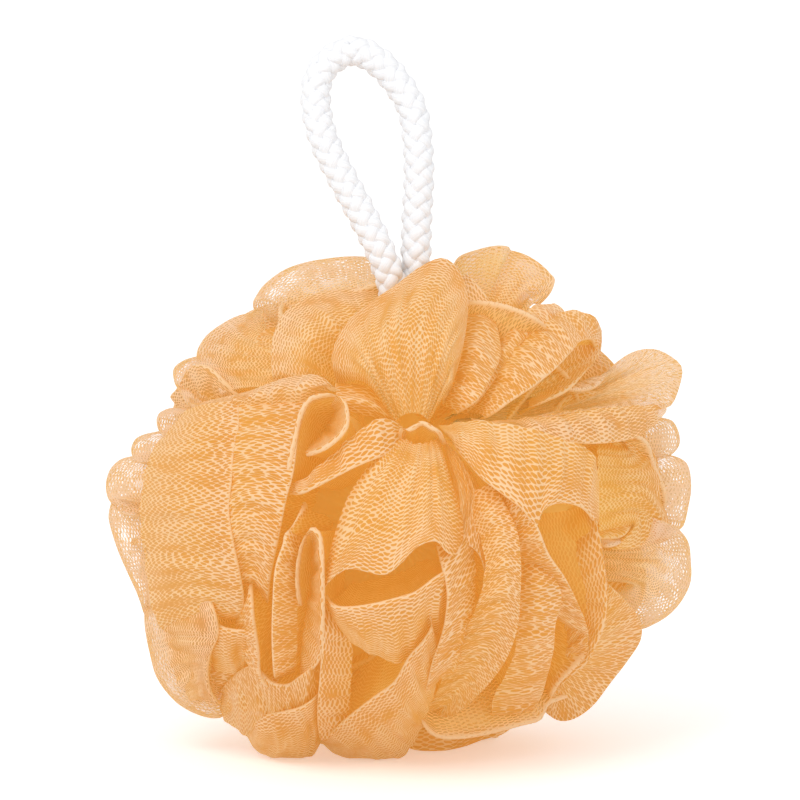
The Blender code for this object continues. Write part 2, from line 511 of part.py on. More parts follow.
def loft(name, sections, collection):
    """A closed mesh through sections[k][i], which is point k of the closed section at place i."""
    ring, places = sections.shape[:2]
    mesh = bmesh.new()
    verts = [[mesh.verts.new(sections[k][i]) for k in range(ring)] for i in range(places)]
    for i in range(places - 1):
        for k in range(ring):
            after = (k + 1) % ring
            mesh.faces.new((verts[i][k], verts[i][after], verts[i + 1][after], verts[i + 1][k]))
    mesh.faces.new(verts[0][::-1])
    mesh.faces.new(verts[-1])
    bmesh.ops.triangulate(mesh, faces=mesh.faces[:])
    bmesh.ops.recalc_face_normals(mesh, faces=mesh.faces[:])
    return as_helper(finish_mesh(name, mesh, collection))


def finish_mesh(name, mesh, collection):
    data = bpy.data.meshes.new(name)
    mesh.to_mesh(data)
    mesh.free()
    thing = bpy.data.objects.new(name, data)
    collection.objects.link(thing)
    return thing


def scattered_direction(number, count, first, last):
    """Directions spread evenly over the ball by the golden angle, whose share towards the back
    goes from first to last."""
    cosine = first + (last - first) * (number + 0.5) / count
    around = number * math.pi * (3.0 - math.sqrt(5.0))
    sine = math.sqrt(1.0 - cosine**2)
    return np.array((sine * math.cos(around), cosine, sine * math.sin(around)))


def far_lift(directions):
    """How high a far ruffle's rim stands, as a share of the ball's surface."""
    side = (1.0 - directions[:, 1] ** 2) ** 4 * (directions[:, 2] > -0.8)
    behind = np.clip((directions[:, 1] - REACH_FROM) / REACH_OVER, 0.0, 1.0)
    below = behind * np.maximum(-directions[:, 2], 0.0) ** 6
    return FAR_LIFT - SIDE_DROP * side + GROUND_REACH * below


def inner_lift(directions):
    """How high an inner ruffle's rim stands, as a share of the ball's surface."""
    return INNER_LIFT - INNER_DROP * np.maximum(-directions[:, 1], 0.0) ** 2


def arc_ruffle(name, number, middle_of_it, rim_lift, collection):
    """A scattered ruffle. Its rim is an arc on the ball, bent and waved by an amount that follows
    its number, and the ruffle leans over across the arc's own line."""
    turn = 2.1 * number + 0.9 * math.sin(3.7 * number)
    level = unit(np.cross(middle_of_it, (0.3, 0.2, 1.0)))
    upright = np.cross(middle_of_it, level)
    along = math.cos(turn) * level + math.sin(turn) * upright
    across = np.cross(middle_of_it, along)

    s = np.linspace(-1.0, 1.0, ARC_POINTS)
    reach = math.radians(25.0 + 6.0 * math.sin(1.9 * number))
    bend = 0.16 + 0.1 * math.sin(2.3 * number + 1.0)
    wave = 0.09 * np.sin((3.4 + math.sin(number)) * s + 1.3 * number)
    rows = []
    for share, lean, depth in ARC_ROWS:
        sideways = lean + share * (bend * (1.0 - s**2) + wave)
        directions = middle_of_it + np.outer(share * reach * s, along) + np.outer(sideways, across)
        directions = unit(directions)
        edge = rim_lift(directions) - ARC_END_DROP * s**2 + 0.02 * np.sin(5.0 * s + number)
        rows.append(on_ball(directions, depth * edge + (1.0 - depth) * ARC_FOOT_LIFT))
    return ruffle(name, rows, ARC_POINTS, collection)


def gathered_middle(collection):
    """The dense middle where the netting is drawn together."""
    mesh = bmesh.new()
    bmesh.ops.create_icosphere(mesh, subdivisions=2, radius=1.0)
    half = (BALL_HALF_WIDTH, BALL_HALF_DEPTH, BALL_HALF_HEIGHT)
    bmesh.ops.scale(mesh, vec=[GATHER_SHARE * h for h in half], verts=mesh.verts[:])
    bmesh.ops.translate(mesh, vec=BALL_CENTRE, verts=mesh.verts[:])
    return as_helper(finish_mesh("gathered_middle", mesh, collection))


def cord_route():
    """The cord's whole way in space, as evenly spaced points of a smooth curve."""
    up = BALL_HALF_HEIGHT / MM
    radius = WAIST_RADIUS / MM
    turn = []
    for i in range(TURN_POINTS):
        angle = math.radians(60.0 - 270.0 * i / (TURN_POINTS - 1))
        across = radius * math.cos(angle)
        turn.append((across, up + radius * math.sin(angle), 1.0 - 6.0 * i / (TURN_POINTS - 1)))
    route = np.array((*turn, *ROUTE_UP, *ROUTE_LOOP, *ROUTE_DOWN)) * MM
    placed = view_to_world(route[:, 0], route[:, 1] - BALL_HALF_HEIGHT, route[:, 2])
    return smooth_curve(placed, CORD_POINTS)


def tube(name, points, radius, collection):
    """A round tube along points, with filled ends."""
    data = bpy.data.curves.new(name, "CURVE")
    data.dimensions = "3D"
    data.bevel_depth = radius
    data.bevel_resolution = 2
    data.use_fill_caps = True
    spline = data.splines.new("POLY")
    spline.points.add(len(points) - 1)
    for point, place in zip(spline.points, points):
        point.co = (*place, 1.0)
    thing = bpy.data.objects.new(name, data)
    collection.objects.link(thing)
    return thing


def cord_channel(points, collection):
    """The room that the cord takes in the netting, as a mesh longer than the cord at its ends."""
    longer = points.copy()
    longer[0] += CORD_CLEARANCE * unit(points[0] - points[1])
    longer[-1] += CORD_CLEARANCE * unit(points[-1] - points[-2])
    guide = tube("channel_guide", longer, 0.5 * CORD_DIAMETER + CORD_CLEARANCE, collection)
    bpy.context.view_layer.update()
    graph = bpy.context.evaluated_depsgraph_get()
    data = bpy.data.meshes.new_from_object(guide.evaluated_get(graph))
    bpy.data.objects.remove(guide)
    mesh = bmesh.new()
    mesh.from_mesh(data)
    bmesh.ops.remove_doubles(mesh, verts=mesh.verts[:], dist=0.01 * MM)
    bmesh.ops.recalc_face_normals(mesh, faces=mesh.faces[:])
    return as_helper(finish_mesh("cord_channel", mesh, collection))


def ground_block(collection):
    """Everything below the surface that the pouf rests on, which flattens its underside."""
    mesh = bmesh.new()
    bmesh.ops.create_cube(mesh, size=4.0 * BALL_HALF_WIDTH)
    bmesh.ops.translate(mesh, vec=(0.0, 0.0, -2.0 * BALL_HALF_WIDTH), verts=mesh.verts[:])
    return as_helper(finish_mesh("ground_block", mesh, collection))


def joined(things):
    """One mesh of several objects' closed meshes, which may overlap."""
    mesh = bmesh.new()
    for thing in things:
        mesh.from_mesh(thing.data)
    return mesh


def evaluated_mesh(thing):
    """The object's mesh as its modifiers leave it."""
    bpy.context.view_layer.update()
    graph = bpy.context.evaluated_depsgraph_get()
    mesh = bmesh.new()
    mesh.from_mesh(bpy.data.meshes.new_from_object(thing.evaluated_get(graph)))
    bpy.data.objects.remove(thing)
    return mesh


def keep_largest(mesh):
    """Drops the closed hollows between ruffles, and what a cut has set free."""
    left = set(mesh.verts)
    pieces = []
    while left:
        piece = [left.pop()]
        for vert in piece:
            for edge in vert.link_edges:
                neighbour = edge.other_vert(vert)
                if neighbour in left:
                    left.remove(neighbour)
                    piece.append(neighbour)
        pieces.append(piece)
    pieces.sort(key=len)
    for piece in pieces[:-1]:
        bmesh.ops.delete(mesh, geom=piece, context="VERTS")


def one_body(things, collection):
    """Overlapping ruffles made one closed body: a voxel remesh follows their outer surface, and
    a decimation then keeps only the triangles that the folds need."""
    body = finish_mesh("one_body", joined(things), collection)
    remesh = body.modifiers.new("outer surface", "REMESH")
    remesh.mode = "VOXEL"
    remesh.voxel_size = VOXEL_SIZE
    mesh = evaluated_mesh(body)
    keep_largest(mesh)
    bmesh.ops.triangulate(mesh, faces=mesh.faces[:])
    share = min(1.0, TRIANGLES_KEPT / len(mesh.faces))
    body = finish_mesh("one_body", mesh, collection)
    decimate = body.modifiers.new("fewer faces", "DECIMATE")
    decimate.ratio = share
    return finish_mesh("net_ruffles", evaluated_mesh(body), collection)


def cut(thing, cutter):
    """Takes a cutter's shape out. Both are closed, and the decimated folds may touch each other,
    which the manifold solver settles where the exact one leaves the cut out."""
    modifier = thing.modifiers.new(cutter.name, "BOOLEAN")
    modifier.operation = "DIFFERENCE"
    modifier.solver = "MANIFOLD"
    modifier.object = cutter


def middle_of_underside(thing):
    """The move that brings the middle of a thing's underside to the origin."""
    corners = np.array([vert.co for vert in thing.data.vertices])
    low, high = corners.min(axis=0), corners.max(axis=0)
    return (-0.5 * (low[0] + high[0]), -0.5 * (low[1] + high[1]), -low[2])


def build():
    clear_scene()
    part = new_collection("mesh_bath_pouf")
    ruffles = new_collection("ruffles")
    cutters = new_collection("cutters")

    pieces = [gathered_middle(ruffles)]
    for name, rows in FRONT_RUFFLES.items():
        pieces.append(ruffle(name, [on_front(row) for row in rows], POINTS_ALONG_RIM, ruffles))
    for number in range(FAR_RUFFLES):
        middle = scattered_direction(number, FAR_RUFFLES, FAR_FROM, FAR_TO)
        pieces.append(arc_ruffle(f"far_{number}", number, middle, far_lift, ruffles))
    for number in range(INNER_RUFFLES):
        middle = scattered_direction(number, INNER_RUFFLES, INNER_FROM, INNER_TO)
        pieces.append(arc_ruffle(f"inner_{number}", number, middle, inner_lift, ruffles))
    route = cord_route()
    netting = one_body(pieces, part)
    cut(netting, cord_channel(route, cutters))
    cut(netting, ground_block(cutters))
    mesh = evaluated_mesh(netting)
    keep_largest(mesh)
    netting = finish_mesh("net_ruffles", mesh, part)
    to_origin = middle_of_underside(netting)
    netting.location = to_origin
    netting.data.materials.append(material("netting", (0.87, 0.42, 0.14), 0.6))
    netting.data.shade_smooth()
    netting.data.set_sharp_from_angle(angle=math.radians(40.0))

    cord = tube("hanging_cord", route, 0.5 * CORD_DIAMETER, part)
    cord.location = to_origin
    cord.data.materials.append(material("cord", (0.86, 0.86, 0.85), 0.7))


build()
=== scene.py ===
# %% [markdown]
# # A mesh bath pouf, dressed
# The part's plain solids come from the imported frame. This file makes what is seen: netting with
# open holes, ruffled and folded, and a braided cord. It reads nothing but that frame.

# %% Load the frame
import math

import bpy
import mathutils
import numpy as np
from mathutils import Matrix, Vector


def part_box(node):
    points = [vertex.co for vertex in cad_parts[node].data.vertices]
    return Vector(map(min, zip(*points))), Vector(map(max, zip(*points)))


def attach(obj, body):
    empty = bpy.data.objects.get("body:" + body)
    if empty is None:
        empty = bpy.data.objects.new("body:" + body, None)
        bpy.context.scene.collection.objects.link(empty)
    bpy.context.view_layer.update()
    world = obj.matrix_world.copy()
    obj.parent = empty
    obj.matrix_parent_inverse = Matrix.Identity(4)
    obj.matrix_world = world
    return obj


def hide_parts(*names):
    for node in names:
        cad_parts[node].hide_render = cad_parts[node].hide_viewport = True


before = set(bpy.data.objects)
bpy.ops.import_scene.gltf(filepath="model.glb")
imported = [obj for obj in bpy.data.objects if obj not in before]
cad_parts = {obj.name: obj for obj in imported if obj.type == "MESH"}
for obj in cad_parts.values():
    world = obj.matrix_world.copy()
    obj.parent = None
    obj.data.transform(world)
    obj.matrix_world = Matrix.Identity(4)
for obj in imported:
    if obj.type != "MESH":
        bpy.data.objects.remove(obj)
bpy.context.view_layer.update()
MM = 0.001
print("nodes in the frame:", sorted(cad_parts))

# %% [markdown]
# ## Where things are
# The netting is laid out as a viewer sees it who stands level with the ball and a little above,
# because its folds were placed as seen from that side. A fold point is (across, up, lift):
# millimetres right of the ball's middle, millimetres above its lowest point, and how far it
# stands forward, where 1 is the ball's own surface. These are the same places as the solid's.

# %% The ball and the viewer
BALL_HALF = np.array((58.5, 54.0, 51.5)) * MM
BALL_CENTRE = np.array((0.0, 0.0, 49.0)) * MM
VIEW_TILT = math.radians(8.0)
VIEW_DISTANCE = 1200.0 * MM
AIM_ABOVE_CENTRE = 21.6 * MM


def unit(vectors):
    """Each vector over its own length."""
    length = np.linalg.norm(vectors, axis=-1, keepdims=True)
    return vectors / np.maximum(length, 1e-9)


def view_to_world(across, up, forward):
    """An offset from the ball's centre as seen, made a place in space. What stands forward looks
    larger by forward / distance about the line of sight, so that much is taken off first."""
    shrink = 1.0 - forward / VIEW_DISTANCE
    across = across * shrink
    up = AIM_ABOVE_CENTRE + (up - AIM_ABOVE_CENTRE) * shrink
    y = up * math.sin(VIEW_TILT) - forward * math.cos(VIEW_TILT)
    z = up * math.cos(VIEW_TILT) + forward * math.sin(VIEW_TILT)
    return BALL_CENTRE + np.stack((across, y, z), axis=-1)


def on_front(points):
    """Places of (across, up, lift) points: forward = lift * half depth * root(1 - x^2 - z^2),
    with x and z as shares of the ball's half width and half height."""
    points = np.asarray(points, float)
    across = points[..., 0] * MM
    up = points[..., 1] * MM - BALL_HALF[2]
    out = (across / BALL_HALF[0]) ** 2 + (up / BALL_HALF[2]) ** 2
    depth_here = BALL_HALF[1] * np.sqrt(np.maximum(1.0 - out, 0.1))
    return view_to_world(across, up, points[..., 2] * depth_here)


def smooth_curve(points, count):
    """Evenly spaced points of the Catmull-Rom curve through chosen points: between two of them
    it is the cubic whose ends have the slope from the point before to the point after."""
    points = np.asarray(points, float)
    if len(points) == 2:
        points = np.array((points[0], points.mean(axis=0), points[1]))
    steps = np.linalg.norm(np.diff(points, axis=0), axis=1)
    knots = np.concatenate(([0.0], np.cumsum(steps)))
    slopes = np.empty_like(points)
    slopes[1:-1] = (points[2:] - points[:-2]) / (knots[2:] - knots[:-2])[:, None]
    slopes[0] = (points[1] - points[0]) / steps[0]
    slopes[-1] = (points[-1] - points[-2]) / steps[-1]
    along = np.linspace(0.0, knots[-1], count)
    piece = np.clip(np.searchsorted(knots, along, side="right") - 1, 0, len(steps) - 1)
    width = steps[piece][:, None]
    t = ((along - knots[piece]) / steps[piece])[:, None]
    return (
        (2 * t**3 - 3 * t**2 + 1) * points[piece]
        + (t**3 - 2 * t**2 + t) * width * slopes[piece]
        + (3 * t**2 - 2 * t**3) * points[piece + 1]
        + (t**3 - t**2) * width * slopes[piece + 1]
    )


print("the ball is", np.round(2 * BALL_HALF / MM, 1), "mm, seen from", VIEW_DISTANCE, "m away")

# %% [markdown]
# ## The cord's route
# The cord comes first, because it is one real length. The frame's own cord says how far the part
# was moved to bring the middle of its underside to the origin, and everything here moves by the
# same step. It could be read from the netting's box too, but the cord's box is exact.

# %% The cord's route
WAIST_RADIUS = 12.0
TURN_POINTS = 9
ROUTE_UP = ((-7, 66, 2), (-4.5, 76, 7), (-2.5, 87, 12), (-1.5, 95, 14.5))
ROUTE_LOOP = (
    (-4, 103, 15),
    (-8, 111, 14),
    (-11.8, 118, 13),
    (-15.4, 125.6, 12),
    (-16.8, 132, 11),
    (-16.4, 137.5, 10.5),
    (-14, 141, 10),
    (-9.2, 143, 10),
    (-4.2, 140.6, 10),
    (0, 135.8, 10.5),
    (2.4, 131.4, 11),
    (3.4, 126, 11.5),
    (3.8, 118, 12),
    (3.4, 110, 12),
    (3.2, 102, 12),
)
ROUTE_DOWN = ((3.5, 94, 10.5), (5, 84, 8), (6.5, 75, 6), (6.5, 68, 5))


def cord_route(count):
    """The turn round the middle, the way up, the loop and the way down, as one smooth curve."""
    turned = np.arange(TURN_POINTS) / (TURN_POINTS - 1)
    angle = np.radians(60.0 - 270.0 * turned)
    turn = np.stack((
        WAIST_RADIUS * np.cos(angle),
        BALL_HALF[2] / MM + WAIST_RADIUS * np.sin(angle),
        1.0 - 6.0 * turned,
    ), axis=-1)
    route = np.concatenate((turn, ROUTE_UP, ROUTE_LOOP, ROUTE_DOWN)) * MM
    placed = view_to_world(route[:, 0], route[:, 1] - BALL_HALF[2], route[:, 2])
    return smooth_curve(placed, count)


def middle_of(low, high):
    return 0.5 * (np.array(low) + np.array(high))


raw_route = cord_route(40)
TO_ORIGIN = middle_of(*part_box("hanging_cord")) - middle_of(raw_route.min(0), raw_route.max(0))
TO_ORIGIN[2] = 0.0
cord_line = cord_route(700) + TO_ORIGIN

# %% [markdown]
# ## A ruffle of netting
# On the real pouf a ruffle is a flattened tube of netting: two layers that meet in a rounded
# fold at the rim and run down to the tied middle. A cloth simulation could gather such a tube,
# but the folds would fall by chance, so each ruffle is a surface lofted through rows of chosen
# points. Across it runs the front layer, the rolled rim and the back layer. Its two ends are
# sunk into the ball afterwards, so that each ruffle seems to go on behind its neighbours.

# %% Loft one ruffle
RIM_RADIUS = 0.5 * MM
TUCK_SHARE = 0.35
TUCK_LIFT = 0.35
BACK_STEPS = 10
RIM_STEPS = 6
BACK_BULGE = 0.5
PLEAT_WIDTH = 6.5 * MM
PLEAT_HEIGHT = 0.45 * MM
FINE_PLEAT_SHARE = 0.6
FINE_PLEATS_A_PLEAT = 1.7
FINE_PLEAT_SHIFT = 2.3
FOOT_PLEAT_SHARE = 0.35
END_LENGTH = 5 * MM
END_DEPTH = 4 * MM


def lofted_face(rows, places, across):
    """A grid through rows of points: smooth along each row, then smooth from row to row."""
    along = np.array([smooth_curve(row, places) for row in rows])
    columns = [smooth_curve(along[:, i], across) for i in range(places)]
    return np.array(columns).transpose(1, 0, 2)


def ruffle_grid(rows, places, across, pleat_phase):
    """One ruffle as a grid of places, and the distance run along its rim. Its rows run from the
    front layer's foot to the rim, half a circle round it and down the back layer, a cubic curve.
    Pleats stand off the front layer by a sum of two sines of the distance along the rim, faded
    out at the rim and at both ends."""
    face = lofted_face(rows, places, across)
    rim = face[-1]
    foot_middle = face[0].mean(axis=0)
    tuck = rim + TUCK_SHARE * (foot_middle - rim)
    tuck = BALL_CENTRE + TUCK_LIFT * (tuck - BALL_CENTRE)
    outward = unit(rim - face[-2])
    sideways = unit(np.gradient(rim, axis=0))
    away = rim - tuck
    away = away - (away * outward).sum(-1, keepdims=True) * outward
    away = unit(away - (away * sideways).sum(-1, keepdims=True) * sideways)

    turn = np.linspace(0.0, math.pi, RIM_STEPS + 1)[1:, None, None]
    lip = rim + RIM_RADIUS * (np.sin(turn) * outward + (np.cos(turn) - 1.0) * away)
    behind = lip[-1]
    t = np.linspace(0.0, 1.0, BACK_STEPS + 1)[1:, None, None]
    reach = np.linalg.norm(tuck - behind, axis=-1, keepdims=True)
    start = -BACK_BULGE * reach * outward
    back = (
        (2 * t**3 - 3 * t**2 + 1) * behind
        + (t**3 - 2 * t**2 + t) * start
        + (3 * t**2 - 2 * t**3) * tuck
        + (t**3 - t**2) * (tuck - behind)
    )

    run = np.linalg.norm(np.diff(rim, axis=0), axis=1)
    run = np.concatenate(([0.0], np.cumsum(run)))
    ends = np.clip(np.minimum(run, run[-1] - run) / END_LENGTH, 0.0, 1.0)
    share = np.linspace(0.0, 1.0, across)[:, None]
    angle = 2 * math.pi * run / PLEAT_WIDTH
    fine = np.sin(FINE_PLEATS_A_PLEAT * angle + FINE_PLEAT_SHIFT * pleat_phase)
    wave = np.sin(angle + pleat_phase) + FINE_PLEAT_SHARE * fine
    fade = (1.0 - share**3) * np.minimum(1.0, FOOT_PLEAT_SHARE + share)
    pleat = PLEAT_HEIGHT * wave * ends * fade
    normal = unit(np.cross(np.gradient(face, axis=1), np.gradient(face, axis=0)))
    face = face + pleat[..., None] * normal
    return np.concatenate((face, lip, back)), run


# %% [markdown]
# ## The ends of a ruffle
# The real ruffle has no ends, as the netting goes on round the ball. Here each ruffle stops, and
# an open end would show its two layers. It could be joined to the next ruffle, but sinking it
# hides it with one line of arithmetic.


# %% Sink the ends
def sunk_ends(grid, run, direction):
    """The grid with both ends sunk along a direction, by the square of how near an end is."""
    ends = np.clip(1.0 - np.minimum(run, run[-1] - run) / END_LENGTH, 0.0, 1.0)
    return grid + END_DEPTH * ends[:, None] ** 2 * direction


print("a ruffle's end sinks", round(END_DEPTH / MM, 1), "mm over", round(END_LENGTH / MM, 1), "mm")

# %% [markdown]
# ## Places on the net
# The holes of the net are long diamonds that lie along the rim, and follow the folds as they are
# part of the material. A pattern read from space would cut straight through a fold, so each point
# carries its place on the net, measured along the surface in metres, as a UV map would.

# %% Net coordinates
HOLE_LENGTH = 2.9 * MM
HOLE_WIDTH = 0.92 * MM
FINER_WHEN_THIN = 0.6
PATTERN_STEP = 31.7 * MM


def net_coordinates(grid, run, first_across, number, stretched, thin):
    """Two pairs for each point. The first is its place on the net, in metres: along the rim and
    across it. Net that is stretched across has its holes that way round, thin net has smaller
    ones, and a start that differs by number keeps two ruffles from having the same pattern. The
    second is its lie: how thin the netting is, from 0 to 1, and the distance from the rim, less
    than zero behind it."""
    across = np.linalg.norm(np.diff(grid, axis=0), axis=-1).mean(axis=1)
    across = np.concatenate(([0.0], np.cumsum(across)))
    across = across[first_across + RIM_STEPS // 2] - across
    net = np.stack(np.broadcast_arrays(run[None, :], across[:, None]), axis=-1)
    lie = np.stack(np.broadcast_arrays(thin, 0.0 * run[None, :] + across[:, None]), axis=-1)
    drawn = HOLE_LENGTH / HOLE_WIDTH
    net = net * (np.array((drawn, 1 / drawn)) if stretched else 1.0)
    return net * (1.0 + FINER_WHEN_THIN * thin) + PATTERN_STEP * number, lie


print("a hole is", round(HOLE_LENGTH / MM, 2), "by", round(HOLE_WIDTH / MM, 2), "mm")


# %% [markdown]
# ## Grids into one mesh
# Many ruffles share one object, as they are one length of netting. A mesh can be built face by
# face with bmesh, but whole arrays are quicker and shorter to read.

# %% Make a mesh from grids
def mesh_from_grids(name, grids):
    """One object of several grids, each with its net coordinates and its lie, four corners a face."""
    points, faces, nets, lies = [], [], [], []
    count = 0
    for places, net, lie in grids:
        rows, columns = places.shape[:2]
        index = count + np.arange(rows * columns).reshape(rows, columns)
        corners = (index[:-1, :-1], index[:-1, 1:], index[1:, 1:], index[1:, :-1])
        faces.append(np.stack(corners, axis=-1).reshape(-1, 4))
        points.append(places.reshape(-1, 3))
        nets.append(net.reshape(-1, 2))
        lies.append(lie.reshape(-1, 2))
        count += rows * columns
    points = np.concatenate(points) + TO_ORIGIN
    faces = np.concatenate(faces)
    mesh = bpy.data.meshes.new(name)
    mesh.from_pydata(points.tolist(), [], faces.tolist())
    for layer_name, values in (("net", nets), ("lie", lies)):
        layer = mesh.uv_layers.new(name=layer_name)
        layer.data.foreach_set("uv", np.concatenate(values)[faces.ravel()].ravel())
    mesh.shade_smooth()
    thing = bpy.data.objects.new(name, mesh)
    bpy.context.scene.collection.objects.link(thing)
    print(name, "has", 2 * len(faces), "triangles")
    return thing
